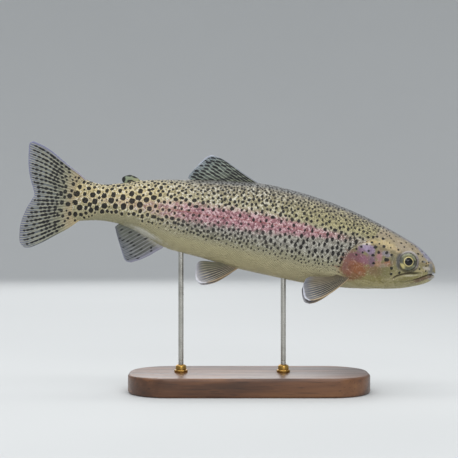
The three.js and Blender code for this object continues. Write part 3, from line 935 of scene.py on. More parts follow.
def paint(code: str) -> Colour:
    """A hexadecimal screen colour as linear light."""
    screen = [int(code[i : i + 2], 16) / 255 for i in (0, 2, 4)]
    linear = [c / 12.92 if c <= 0.04045 else ((c + 0.055) / 1.055) ** 2.4 for c in screen]
    return (*linear, 1.0)


class Paint:
    """A material's nodes, with a short method for each kind that the finishes use."""

    def __init__(self, name: str, roughness: float = 0.4, **constants: float) -> None:
        """Starts a material.

        Args:
            name: the material's name.
            roughness: the shader's roughness.
            constants: other values on the shader's sockets, with _ for a space.
        """
        self.material = bpy.data.materials.new(name)
        self.material.use_nodes = True
        self.tree = self.material.node_tree
        self.shader = next(n for n in self.tree.nodes if n.type == "BSDF_PRINCIPLED")
        self.shader.inputs["Roughness"].default_value = roughness
        for words, value in constants.items():
            self.shader.inputs[words.replace("_", " ")].default_value = value

    def node(self, kind: str, inputs: dict[Key, object], out: Key = 0, **settings: object) -> Socket:
        """Adds a node.

        Args:
            kind: the node's type.
            inputs: values or sockets for its inputs.
            out: the output wanted.
            settings: the node's own settings.

        Returns:
            The output.
        """
        made = self.tree.nodes.new(kind)
        for words, value in settings.items():
            setattr(made, words, value)
        for key, value in inputs.items():
            if isinstance(value, Socket):
                self.tree.links.new(value, made.inputs[key])
            else:
                made.inputs[key].default_value = value
        return made.outputs[out]

    def attribute(self, name: str) -> Socket:
        """A vector attribute of the mesh."""
        return self.node("ShaderNodeAttribute", {}, "Vector", attribute_name=name)

    def place(self) -> Socket:
        """Object coordinates, in metres."""
        return self.node("ShaderNodeTexCoord", {}, "Object")

    def split(self, vector: Socket) -> tuple[Socket, Socket, Socket]:
        """The three parts of a vector."""
        made = self.tree.nodes.new("ShaderNodeSeparateXYZ")
        self.tree.links.new(vector, made.inputs[0])
        return made.outputs[0], made.outputs[1], made.outputs[2]

    def join(self, x: object, y: object, z: object = 0.0) -> Socket:
        """A vector of three parts."""
        return self.node("ShaderNodeCombineXYZ", {0: x, 1: y, 2: z})

    def math(self, operation: str, a: object, b: object = 0.0) -> Socket:
        """Arithmetic on one or two values."""
        return self.node("ShaderNodeMath", {0: a, 1: b}, operation=operation)

    def scaled(self, vector: Socket, by: Triple) -> Socket:
        """A vector with its parts multiplied."""
        return self.node("ShaderNodeVectorMath", {0: vector, 1: by}, operation="MULTIPLY")

    def noise(self, vector: Socket, scale: float, detail: float = 2.0, roughness: float = 0.5) -> Socket:
        """Soft noise about a half."""
        inputs = {"Vector": vector, "Scale": scale, "Detail": detail, "Roughness": roughness}
        return self.node("ShaderNodeTexNoise", inputs)

    def fade(self, value: Socket, low: float, high: float, start: float = 0.0, end: float = 1.0) -> Socket:
        """A smooth step from start at low to end at high; low may be the greater."""
        if low > high:
            low, high, start, end = high, low, end, start
        inputs = {0: value, 1: low, 2: high, 3: start, 4: end}
        return self.node("ShaderNodeMapRange", inputs, interpolation_type="SMOOTHSTEP")

    def ramp(self, value: Socket, stops: Stops) -> Socket:
        """A colour that changes with a value, through stops of (place, colour)."""
        made = self.tree.nodes.new("ShaderNodeValToRGB")
        self.tree.links.new(value, made.inputs[0])
        elements = made.color_ramp.elements
        while len(elements) < len(stops):
            elements.new(0.5)
        for element, (place, code) in zip(elements, stops):
            element.position = place
        for element, (place, code) in zip(elements, stops):
            element.color = paint(code)
        return made.outputs[0]

    def mix(self, amount: object, a: object, b: object, blend: str = "MIX") -> Socket:
        """Two colours mixed; a colour may be a hexadecimal code."""
        a, b = (paint(c) if isinstance(c, str) else c for c in (a, b))
        inputs = {0: amount, 6: a, 7: b}
        return self.node("ShaderNodeMix", inputs, 2, data_type="RGBA", blend_type=blend)

    def both(self, *values: object) -> Socket:
        """The product of values."""
        made = values[0]
        for value in values[1:]:
            made = self.math("MULTIPLY", made, value)
        return made

    def spread(self, value: Socket, low: float, high: float) -> Socket:
        """A value from 0 to 1 as one from low to high."""
        return self.node("ShaderNodeMapRange", {0: value, 3: low, 4: high})

    def shade_by(self, colour: Socket, value: Socket, low: float, high: float) -> Socket:
        """A colour multiplied by a factor from low to high as a value goes from 0 to 1."""
        factor = self.spread(value, low, high)
        return self.mix(1.0, colour, self.join(factor, factor, factor), "MULTIPLY")

    def bump(self, height: Socket, distance: float) -> Socket:
        """A normal from a height, in metres of relief for each unit."""
        return self.node("ShaderNodeBump", {"Height": height, "Distance": distance})

    def done(self, colour: Socket, roughness: Socket | None = None, normal: Socket | None = None) -> Material:
        """Links the shader, and gives the material."""
        for words, socket in (("Base Color", colour), ("Roughness", roughness), ("Normal", normal)):
            if socket is not None:
                self.tree.links.new(socket, self.shader.inputs[words])
        return self.material


@dataclass(frozen=True)
class AirbrushPatch:
    """A soft oval of colour in side view: its middle, its radii, its strength and its turn."""

    station: float
    height: float
    long: float
    tall: float
    colour: str
    strength: float = 0.8
    turn: float = 0.0
    soft: float = 0.5

    def laid(self, p: Paint, colour: Socket, u: Socket, v: Socket, wander: Socket) -> Socket:
        """Lays the patch over a colour, with its edge pushed about by the wander."""
        spread = p.join(p.math("SUBTRACT", u, self.station), p.math("SUBTRACT", v, self.height))
        turn, scale = (0, 0, math.radians(self.turn)), (self.long, self.tall, 1)
        inputs = {"Vector": spread, "Rotation": turn, "Scale": scale}
        turned = p.node("ShaderNodeMapping", inputs, vector_type="TEXTURE")
        away = p.node("ShaderNodeVectorMath", {0: turned}, "Value", operation="LENGTH")
        uneven = p.math("ADD", away, p.both(p.math("SUBTRACT", wander, 0.5), 1.5))
        inside = p.fade(uneven, 1.0 + self.soft, 1.0 - self.soft, 0.0, self.strength)
        return p.mix(inside, colour, self.colour)


@dataclass(frozen=True)
class SkinFinish:
    """The trout's colours, shared by its skin and its scales."""

    name: str
    scaled: bool
    shoulder: Stops = (
        (0.0, "b2a985"), (0.14, "aea684"), (0.24, "9d9980"), (0.34, "96938a"), (0.46, "9c978c"),
        (0.56, "a8a189"), (0.66, "a09972"), (0.8, "948c6c"), (0.93, "857f72"), (0.965, "797a7a"),
        (1.0, "6e6f6e"),
    )
    middle: Stops = (
        (0.0, "aea581"), (0.15, "aea682"), (0.26, "9a967e"), (0.36, "97928a"), (0.46, "a59c92"),
        (0.6, "bdb49c"), (0.7, "b5ac8a"), (0.82, "a3997c"), (0.93, "8c8574"), (0.965, "7b7b79"),
        (1.0, "70706c"),
    )
    tail: Stops = (
        (0.0, "969174"), (0.2, "999375"), (0.36, "a39c79"), (0.5, "b6a486"), (0.64, "c2b184"),
        (0.8, "bfad7c"), (0.93, "9a9278"), (1.0, "7c7b76"),
    )
    # The lilac-grey stops at the top paint a faint rim of light along the ridge of the head.
    head: Stops = (
        (0.0, "a39a74"), (0.2, "948c66"), (0.34, "807a54"), (0.5, "84795a"), (0.66, "978c72"),
        (0.86, "93866f"), (0.93, "857d6c"), (0.965, "78767a"), (1.0, "68676a"),
    )
    # Soft ovals of colour over the head and trunk; some paint highlights, a shadow and a sheen, as noted by
    # their lines.
    patches: tuple[tuple[float | str, ...], ...] = (
        (56, -24, 26, 4, "968e64", 0.6), (20, -18, 18, 5, "8e8860", 0.7),
        (4.5, -8, 3.5, 2.6, "9a9a9e", 0.6), (52, -11, 11, 6, "736d48", 0.75),
        (62, -18.5, 14, 4, "857c4c", 0.8), (61, -11, 7, 6, "7b6246", 0.8),
        (81, -9, 12, 11.5, "8a5644", 0.95, 0, 0.4), (75, -13, 8, 6, "8a5836", 0.8),
        (77, -20, 7, 2.6, "7d6040", 0.7, 10), (86, -15, 5, 6, "794c3a", 0.8),
        # The purple and lilac ovals on the gill cover, from (79, -1) to (64, -2), are its pink colour with a
        # painted iridescent sheen.
        (88, -8, 3.5, 9, "7e5a54", 0.7), (79, -1, 9, 4.5, "765058", 0.85),
        (71, -2.5, 5, 4.5, "8b5c70", 0.8), (71, 8, 6.5, 4, "9c8ca6", 0.95, 0, 0.4),
        (76, 5, 4.5, 3, "82627c", 0.8), (66, 6, 3.5, 4, "86728a", 0.8), (64, -2, 3, 5, "7a5e72", 0.85),
        (58, 3, 3, 5.5, "9e7276", 0.9), (58, -4.5, 3, 2.5, "9f7a64", 0.8),
        (48.5, -2, 5, 2.8, "96664e", 0.85, -15), (52.5, -4.9, 4, 1.6, "968a7c", 0.55, -20),
        (51.5, 6, 5, 2.6, "8a8492", 0.7, 10), (45.2, 2, 2, 6, "68644f", 0.75),
        (59, 16, 10, 3, "cbb685", 0.72, 2, 0.7), (68, 14.6, 5, 2, "bfa972", 0.85, -12, 0.6),
        # (72, 12.2, ...) is a painted highlight along the top of the gill cover's edge.
        (51, 15, 6, 3.2, "c5b185", 0.65, 12, 0.7), (72, 12.2, 4.5, 0.9, "d8d2c4", 0.8, -14),
        (62.5, 17.8, 3.4, 1.3, "8f8664", 0.75, 14), (55.5, 13.2, 2.6, 1.1, "98896a", 0.7, -18),
        (48, 17.6, 3.6, 1.2, "94876c", 0.7, 12), (66.5, 14.2, 1.6, 0.9, "8c825c", 0.7, 40),
        (42, 11.6, 4, 1.8, "bfa882", 0.6, 24), (35, 14.5, 8, 4, "a69884", 0.7, 24),
        (13, 11.4, 9, 2.4, "7c7f98", 0.75, 40), (6.5, 1, 3, 5, "6d7078", 0.7),
        (2.6, -3.9, 1.6, 1.2, "6c6f7c", 0.8), (11, -0.4, 3.5, 1.8, "b4aca0", 0.85),
        # (10.6, 4.4, ...) is a painted highlight by the nostrils.
        (10.6, 4.4, 0.8, 0.8, "c09c68", 0.85), (13.6, 5.4, 1.3, 1.1, "5f6678", 0.7),
        (17, -3.6, 6, 1.5, "aea078", 0.7, -12), (28, -13, 13, 2.6, "77703f", 0.7, -22),
        # (25, -9.6, ...) is a painted highlight under the groove above the maxilla, and (280, -16, ...) a
        # painted highlight on the silvery belly above the anal fin.
        (25, -9.6, 7, 0.7, "b9b298", 0.75, -13), (280, -16, 16, 2.6, "cfcdc2", 0.7, 17, 0.6),
        # (14, -11.4, ...) is painted shadow on the lower lip, under the upper jaw.
        (14, -11.4, 10, 1.8, "66513f", 0.9, -27), (47, 31, 13, 3.2, "626259", 0.7, 20, 0.7),
    )

    def material(self) -> Material:
        """Paints the skin, from its ground colours up to its spots, with painted highlights and shade among
        them.
        """
        p = Paint(self.name, 0.42, Specular_IOR_Level=0.25)
        station, level, behind = p.split(p.attribute("place"))
        flat = p.attribute("flat")
        u, _, v = p.split(flat)
        ground = p.mix(p.fade(station, 130, 200), p.ramp(level, self.shoulder), p.ramp(level, self.middle))
        ground = p.mix(p.fade(station, 235, 300), ground, p.ramp(level, self.tail))
        finer = p.math("SUBTRACT", p.noise(flat, 0.45, 3.0, 0.65), 0.5)
        wander = p.math("ADD", p.noise(flat, 0.11, 2.0), finer)
        bare = p.fade(p.math("ADD", behind, p.math("MULTIPLY", wander, 2.0)), 2.6, 0.4)
        colour = p.mix(bare, ground, p.ramp(level, self.head))
        for patch in self.patches:
            colour = AirbrushPatch(*patch).laid(p, colour, u, v, wander)
        colour = self.lid_light_and_shade(p, colour, u, v)
        fleck = p.noise(flat, 0.65, 3.0, 0.6)
        colour = p.mix(p.both(p.fade(fleck, 0.54, 0.72), bare, 0.42), colour, "cdbfae")
        colour = p.mix(p.both(p.fade(fleck, 0.44, 0.28), bare, 0.42), colour, "4f4234")
        # Painted shadow: a soft dark line along the gill cover's rear edge, where it overhangs the scales.
        cover_shadow = p.both(p.fade(p.math("ABSOLUTE", behind), 0.9, 0.2), p.fade(level, 0.2, 0.3))
        cover_shadow = p.both(cover_shadow, p.fade(level, 0.8, 0.7), p.fade(wander, 0.1, 0.6, 0.3, 0.62))
        colour = p.mix(cover_shadow, colour, "43362f")
        colour = self.mottled(p, colour, flat, level, station, behind)
        colour = self.striped(p, colour, flat)
        edge, hollow, pale = p.split(p.attribute("marks"))
        colour = p.mix(p.both(pale, p.fade(wander, 0.3, 0.65), 0.7), colour, "bf9c88")
        colour = self.spotted(p, colour, flat, edge, station, level)
        # Painted shade: the skin darkens in the hollows of its relief, by how deep they are.
        colour = p.mix(p.both(p.fade(hollow, 0.1, 0.9), 0.8), colour, "2c211a")
        rough = p.fade(p.noise(flat, 0.5, 3.0), 0.2, 0.8, 0.3, 0.46)
        fine = p.bump(p.noise(flat, 1.6, 3.0, 0.6), 0.00012)
        return p.done(colour, rough, fine)

    def lid_light_and_shade(self, p: Paint, colour: Socket, u: Socket, v: Socket) -> Socket:
        """Rings the eye with painted light and shade: a pale lit lid over it, a grey painted shade behind it
        and a dark painted shadow below it.
        """
        x, y = p.math("SUBTRACT", u, EyePlan.station), p.math("SUBTRACT", v, EyePlan.height)
        away = p.node("ShaderNodeVectorMath", {0: p.join(x, y)}, "Value", operation="LENGTH")
        brim = p.both(p.fade(away, 8.0, 8.9), p.fade(away, 10.8, 9.6))
        wide = p.both(p.fade(away, 8.0, 9.2), p.fade(away, 14.0, 10.5))
        # Painted highlight on the top of the lid; the last two lines paint shade behind the eye and shadow
        # below it.
        colour = p.mix(p.both(brim, p.fade(y, 3.0, 8.0), 0.7), colour, "b0acae")
        colour = p.mix(p.both(brim, p.fade(x, -4.0, -8.0), 0.75), colour, "77727c")
        colour = p.mix(p.both(wide, p.fade(x, 5.0, 9.0), p.fade(y, 9.0, 4.0), 0.85), colour, "585a60")
        return p.mix(p.both(wide, p.fade(y, -2.0, -7.0), p.fade(away, 12.0, 9.6), 0.9), colour, "4a4532")

    def mottled(
        self, p: Paint, colour: Socket, flat: Socket, level: Socket, station: Socket, behind: Socket
    ) -> Socket:
        """Breaks the ground up: soft clouds, each scale's own shade on the flanks, light flecks that are
        partly silvery scales and partly painted glints, and painted shade at each scale's root.
        """
        colour = p.shade_by(colour, p.noise(flat, 0.16, 3.0), 0.8, 1.14)
        colour = p.shade_by(colour, p.noise(flat, 0.75, 3.0, 0.7), 0.76, 1.18)
        flank = p.both(p.fade(level, 0.16, 0.32), p.fade(level, 1.0, 0.88), p.fade(behind, -2.5, 0.0))
        flank = p.both(flank, self.quiet(p, level, station, 75.0, 0.62))
        own = self.own_shade(p, flat)
        nape = p.both(p.fade(station, 190, 110), p.fade(level, 0.52, 0.62))
        # The light flecks are partly silvery scales and partly painted glints.
        flecks = p.mix(nape, paint("e2dfd2"), "beb58c")
        light = p.both(p.fade(own, 0.55, 0.95), flank, p.fade(nape, 0.0, 1.0, 0.64, 0.58))
        colour = p.mix(light, colour, flecks)
        dark = p.both(p.fade(own, 0.45, 0.05), flank, p.fade(level, 0.52, 0.62, 0.62, 0.5))
        colour = p.mix(dark, colour, "3f3d32")
        if not self.scaled:
            return colour
        # Painted shade: each scale is darker at its root, under the one in front, and lighter at its free
        # edge.
        along = p.split(p.attribute("lie"))[0]
        return p.shade_by(colour, p.fade(along, 0.3, 1.0), 0.86, 1.1)

    def quiet(self, p: Paint, level: Socket, station: Socket, start: float, least: float) -> Socket:
        """Share left of the contrast: 1, and less under the stripe from a station on."""
        middle = p.both(p.fade(station, start, start + 35), p.fade(station, 300, 270))
        middle = p.both(middle, p.fade(level, 0.53, 0.46))
        return p.fade(middle, 0.0, 1.0, 1.0, least)

    def own_shade(self, p: Paint, flat: Socket) -> Socket:
        """Each scale's own shade from 0 to 1, or a grain like it where there are no scales."""
        if self.scaled:
            grain = p.spread(p.noise(flat, 1.3, 2.0, 0.7), -0.45, 0.45)
            return p.math("ADD", p.split(p.attribute("lie"))[2], grain)
        return p.fade(p.noise(p.scaled(flat, (0.8, 1, 1)), 0.95, 2.0, 0.7), 0.3, 0.7)

    def striped(self, p: Paint, colour: Socket, flat: Socket) -> Socket:
        """Lays the pink stripe, with its light speckle and the thin line through it."""
        offset, gap, shown = p.split(p.attribute("band"))
        wave = p.spread(p.noise(flat, 0.3, 4.0, 0.7), -0.9, 0.9)
        away = p.math("ADD", p.math("ABSOLUTE", offset), wave)
        own = self.own_shade(p, flat)
        pinks = p.ramp(own, ((0.05, "744c54"), (0.3, "9a646e"), (0.6, "b07c86"), (0.95, "d2b0b4")))
        colour = p.mix(p.both(p.fade(away, 1.5, 0.5), shown, 0.86), colour, pinks)
        line = p.fade(p.math("ABSOLUTE", p.math("ADD", gap, p.both(wave, 0.9))), 0.75, 0.3)
        return p.mix(p.both(line, shown, 0.5), colour, "8e443c")

    def spotted(
        self, p: Paint, colour: Socket, flat: Socket, edge: Socket, station: Socket, level: Socket
    ) -> Socket:
        """Lays the dark spots, with a light rim round those of the tail."""
        ragged = p.spread(p.noise(flat, 0.6, 2.0, 0.6), -0.8, 0.8)
        rough_edge = p.math("ADD", edge, ragged)
        net = p.both(p.fade(rough_edge, 0.0, 0.45), p.fade(rough_edge, 1.5, 0.6), p.fade(station, 215, 300))
        net = p.both(net, p.fade(level, 0.2, 0.45, 0.35, 1.0))
        colour = p.mix(p.both(net, 0.5), colour, "e3d3a2")
        dark = p.ramp(p.noise(flat, 0.4, 2.0), ((0.35, "0e0e10"), (0.65, "22201c")))
        inside = p.fade(rough_edge, 0.42, -0.12, 0.0, 0.97)
        inside = p.both(inside, self.quiet(p, level, station, 125.0, 0.93))
        colour = p.mix(inside, colour, dark)
        return p.mix(p.fade(rough_edge, -1.7, -2.7, 0.0, 0.3), colour, "6a5d48")


# ---- skin


@dataclass
class Skin:
    """One closed skin over the whole fish, from the snout to inside the tail fin."""

    body: Body
    relief: Relief
    markings: Markings
    pose: Pose
    segments: int = 240
    rings: int = 322
    ring_stations: Points = ((0, 0), (32, 5.6), (132, 48), (228, 96), (320, 352.9), (322, 356))
    blunt_rings: int = 32

    def build(self) -> Piece:
        """Shapes a sphere into the skin, and dresses it."""
        deselect_all()
        bpy.ops.mesh.primitive_uv_sphere_add(segments=self.segments, ring_count=self.rings, radius=1)
        piece = added("skin")
        x, y, z = vertices_of(piece).T
        ring = np.arccos(np.clip(z, -1, 1)) / math.pi * self.rings
        knots = np.array(self.ring_stations)
        u = np.interp(ring, knots[:, 0], knots[:, 1])
        first = knots[1, 1] * (ring / self.blunt_rings) ** 2
        u = np.maximum(np.where(ring < self.blunt_rings, first, u), 0.02)
        girth = np.arctan2(x, y) / math.pi
        points = self.body.surface(u, girth)
        outward = self.body.normal(u, girth)
        pole = np.hypot(x, y) < 1e-5
        points[pole] = self.body.core(u)[pole]
        points[pole & (z > 0), 0] = 0.0
        outward[pole] = np.stack([-np.sign(z), 0 * z, 0 * z], axis=1)[pole]
        offset, hollow, pale = self.relief.shape(points)
        offset -= self.relief.coat_inset(points[:, 0], points[:, 2])
        moved = points + outward * offset[:, None]
        move_vertices(piece, self.pose.place(moved))
        face_outwards(piece)
        piece.data.uv_layers[0].name = BAKE_MAP
        self.markings.write(piece.data, points, hollow, pale)
        shade(piece)
        nodes = ["head", "lower_jaw", "maxilla_right", "maxilla_left", "gill_cover_right"]
        nodes += ["gill_cover_left", "trunk_front", "trunk_rear", "tail_stalk"]
        enter(piece, Slot.BODY, SkinFinish("trout_skin", False).material(), *nodes)
        return piece


# ---- scales


@dataclass
class Coat:
    """Overlapping scales in rows along the lateral line, joined into a few coat pieces."""

    body: Body
    relief: Relief
    markings: Markings
    pose: Pose
    row_gap: float = 1.1
    step: float = 2.1
    thick: float = 0.08
    rows: tuple[Triple, ...] = (
        (0.0, 0.62, -0.16), (0.85, 1.1, -0.04), (1.8, 1.14, 0.08), (2.55, 0.76, 0.17),
    )
    tip: Pair = (2.95, 0.2)
    camber: float = 0.06
    cuts: tuple[float, ...] = (46, 100, 142, 186, 234, 286, 352)
    words: tuple[str, ...] = ("nape", "shoulder", "middle", "loin", "vent", "tail_stalk")
    patch: float = 0.003
    seed: int = 7

    def template(self) -> tuple[Array, Array]:
        """One scale.

        Returns:
            Its points (along, across, up) with the root at the origin, and its triangles.
        """
        top = [(x, y * w, z + self.camber * (y == 0)) for x, w, z in self.rows for y in (-1, 0, 1)]
        top.append((self.tip[0], 0.0, self.tip[1]))
        rim = [0, 3, 6, 9, 12, 11, 8, 5, 2, 1]
        under = [(top[i][0], top[i][1], top[i][2] - self.thick) for i in rim]
        faces: list[tuple[int, int, int]] = []
        for i in range(len(self.rows) - 1):
            for j in (0, 1):
                a, b = 3 * i + j, 3 * i + j + 1
                faces += [(a, a + 3, b), (b, a + 3, b + 3)]
        faces += [(9, 12, 10), (10, 12, 11)]
        first = len(top)
        for k, i in enumerate(rim):
            after = (k + 1) % len(rim)
            faces += [(i, first + k, rim[after]), (rim[after], first + k, first + after)]
        faces += [(first, first + k + 1, first + k) for k in range(1, len(rim) - 1)]
        return np.array(top + under), np.array(faces)

    def roots(self) -> Array:
        """Where the scales are rooted.

        Returns:
            Rows of station, side, the arc that its line of scales follows (0 the lateral line, 1
            the ridge, 2 the belly) and the distance above that line.
        """
        found = []
        stations = np.arange(48.0, 352.0, self.step)
        count = int(self.body.half_girths.max() / self.row_gap) + 2
        for side in Side:
            for row in range(-count, count):
                u = stations + (row % 2) * self.step / 2
                w = row * self.row_gap + np.zeros(len(u))
                arc = self.body.lateral_arc(u) - w
                kept = (arc > 0.5 * self.row_gap) & (arc < self.body.half_girth(u) - 0.5 * self.row_gap)
                found.append(np.stack([u, side.value + 0 * u, 0 * u, w], axis=1)[kept])
        for line in (1.0, 2.0):
            for shift, w in ((0.0, 0.0), (0.5, 1.0), (0.5, -1.0)):
                u = stations + shift * self.step
                found.append(np.stack([u, 1 + 0 * u, line + 0 * u, w + 0 * u], axis=1))
        rows = np.concatenate(found)
        points = self.body.surface(rows[:, 0], self.girth(rows, rows[:, 0], 0.0))
        behind = self.relief.behind_cover(points[:, 0], points[:, 2])
        tail_edge = 351.0 - 0.012 * (points[:, 2] - 3.0) ** 2 + 1.3 * np.sin(1.7 * rows[:, 3])
        return rows[(behind > 0.4) & (rows[:, 0] < tail_edge)]

    def girth(self, rows: Array, u: Array, across: Array | float) -> Array:
        """Girth places of points beside the scales' lines."""
        line = rows[:, 2]
        lateral = self.body.lateral_arc(u) - rows[:, 3] - across
        arc = np.where(line == 0, lateral, rows[:, 3] + across)
        arc = np.where(line == 2, self.body.half_girth(u) - rows[:, 3] - across, arc)
        return rows[:, 1] * arc / self.body.half_girth(u)

    def build(self) -> list[Piece]:
        """Lays all the scales, one piece for each length of the body."""
        roots = self.roots()
        random = np.random.default_rng(self.seed)
        chance = random.normal(0, 1, (len(roots), 4))
        shades = random.uniform(0, 1, len(roots))
        finish = SkinFinish("trout_scales", True).material()
        pieces = []
        for word, low, high in zip(self.words, self.cuts[:-1], self.cuts[1:]):
            chosen = (roots[:, 0] >= low) & (roots[:, 0] < high)
            piece = self.laid(f"scales_{word}", roots[chosen], chance[chosen], shades[chosen], (low, high))
            enter(piece, Slot.BODY, finish)
            pieces.append(piece)
        return pieces

    def laid(self, name: str, roots: Array, chance: Array, shades: Array, span: Pair) -> Piece:
        """Lays the scales of one piece.

        Args:
            name: the piece's name.
            roots: the scales' roots.
            chance: four normal draws for each scale.
            shades: a shade from 0 to 1 for each.
            span: the stations that the piece covers.

        Returns:
            The piece.
        """
        shape, faces = self.template()
        count, each = len(roots), len(shape)
        rooted = self.body.surface(roots[:, 0], self.girth(roots, roots[:, 0], 0.0))
        behind = self.relief.behind_cover(rooted[:, 0], rooted[:, 2])
        young = 0.66 + 0.34 * smooth(behind, 0.0, 9.0)
        size = young * (1 + 0.05 * np.clip(chance[:, 0], -2, 2))
        turn = 0.07 * np.clip(chance[:, 1], -2, 2)
        rows = np.repeat(roots, each, axis=0)
        x, y, z = (np.tile(shape[:, i], count) for i in range(3))
        cos, sin = np.repeat(np.cos(turn) * size, each), np.repeat(np.sin(turn) * size, each)
        along, across = x * cos - y * sin, x * sin + y * cos
        u = rows[:, 0] + along
        girth = self.girth(rows, u, across)
        bare = self.body.surface(u, girth)
        lift = z + 0.03 * np.repeat(np.clip(chance[:, 2], -2, 2), each) * x
        offset, hollow, pale = self.relief.shape(bare)
        flat_front = np.repeat(self.relief.coat_depth * smooth(behind, -0.5, 1.2), each)
        points = bare + self.body.normal(u, girth) * (lift + offset - flat_front)[:, None]
        placed = self.pose.place(points).reshape(count, each, 3)
        outward = placed - self.pose.place(self.body.core(u)).reshape(count, each, 3)
        turned = np.cross(placed[:, 4] - placed[:, 3], placed[:, 6] - placed[:, 3])
        flipped = np.sum(turned * outward[:, 4], axis=1) > 0
        corner = np.repeat(faces[None], count, axis=0)
        corner[flipped] = corner[flipped][:, :, ::-1]
        corner = corner + (np.arange(count) * each)[:, None, None]
        piece = mesh_of(name, placed.reshape(-1, 3), corner.reshape(-1, 3))
        self.markings.write(piece.data, bare, hollow, pale)
        write_attribute(piece.data, "lie", x / self.tip[0], y, np.repeat(shades, each))
        root_u = (roots[:, 0] - span[0]) / (span[1] - span[0])
        root_v = 0.5 + 0.5 * (self.girth(roots, roots[:, 0], 0.0) + 1) % 2 / 2 * 0.98
        spread = np.stack([np.repeat(root_u * 0.99, each) + x / self.tip[0] * self.patch,
                           np.repeat(root_v, each) + y * self.patch / 2], axis=1)
        layer = piece.data.uv_layers.new(name=BAKE_MAP)
        layer.uv.foreach_set("vector", spread[corner.ravel()].astype(np.float32).ravel())
        shade(piece)
        return piece


def mesh_of(name: str, points: Array, triangles: Array) -> Piece:
    """A piece made of many joined triangles.

    Args:
        name: the piece's name.
        points: its vertices, in metres.
        triangles: three vertices for each face.

    Returns:
        The piece.
    """
    mesh = bpy.data.meshes.new(name)
    mesh.vertices.add(len(points))
    mesh.vertices.foreach_set("co", points.astype(np.float32).ravel())
    mesh.loops.add(triangles.size)
    mesh.loops.foreach_set("vertex_index", triangles.astype(np.int32).ravel())
    mesh.polygons.add(len(triangles))
    mesh.polygons.foreach_set("loop_start", np.arange(0, triangles.size, 3, dtype=np.int32))
    mesh.update(calc_edges=True)
    piece = bpy.data.objects.new(name, mesh)
    bpy.context.scene.collection.objects.link(piece)
    return piece


# ---- fins


@dataclass(frozen=True)
class FinFinish:
    """A fin's colours: its membrane outwards, its rays, its leading edge and its margin."""

    name: str
    membrane: Stops
    ray: str
    ray_strength: float = 0.5
    ray_span: Pair = (0.2, 0.85)
    rays_from: float = 0.0
    rear_rays: float = 1.0
    front: str = "8a8780"
    front_width: float = 0.9
    margin: str = "8c8a94"
    margin_width: float = 1.5
    spots: float = 0.95
    rear: str = "5c5a4c"
    rear_strength: float = 0.0

    def material(self) -> Material:
        """Paints the fin by its rays, then lays its dark marks."""
        p = Paint(self.name, 0.45, Specular_IOR_Level=0.3)
        phase, along, reach = p.split(p.attribute("ray"))
        ridge, from_front, from_edge = p.split(p.attribute("fin"))
        dark, share, _ = p.split(p.attribute("dark"))
        around = p.join(p.both(phase, 2.4), along)
        cloud = p.noise(around, 0.22, 3.0)
        colour = p.ramp(reach, self.membrane)
        rear = p.both(p.fade(share, 0.35, 0.8), p.fade(reach, 1.0, 0.7), self.rear_strength)
        colour = p.mix(rear, colour, self.rear)
        colour = p.shade_by(colour, cloud, 0.74, 1.22)
        begun = p.fade(reach, self.rays_from - 0.1, self.rays_from + 0.08)
        rays = p.both(p.fade(ridge, *self.ray_span), begun)
        rays = p.both(rays, p.fade(share, 0.15, 0.95, 1.0, self.rear_rays), p.fade(cloud, 0.2, 0.6, 0.6, 1.0))
        colour = p.mix(p.both(rays, self.ray_strength), colour, self.ray)
        joints = p.math("SINE", p.both(along, 5.6))
        colour = p.mix(p.both(p.fade(joints, 0.4, 1.0), p.fade(ridge, 0.5, 0.9), 0.16), colour, "4c4740")
        colour = p.mix(p.fade(from_front, self.front_width, 0.0, 0.0, 0.75), colour, self.front)
        narrowed = p.both(p.fade(share, 0.3, 0.9), p.math("MULTIPLY", self.margin_width, 0.6))
        near_edge = p.math("ADD", from_edge, narrowed)
        colour = p.mix(p.fade(near_edge, self.margin_width, 0.2, 0.0, 0.85), colour, self.margin)
        ragged = p.math("ADD", dark, p.math("SUBTRACT", p.noise(around, 0.8, 2.0), 0.5))
        colour = p.mix(p.fade(ragged, 0.4, -0.15, 0.0, self.spots), colour, "151517")
        return p.done(colour, None, p.bump(p.noise(around, 1.2, 2.0), 0.00012))


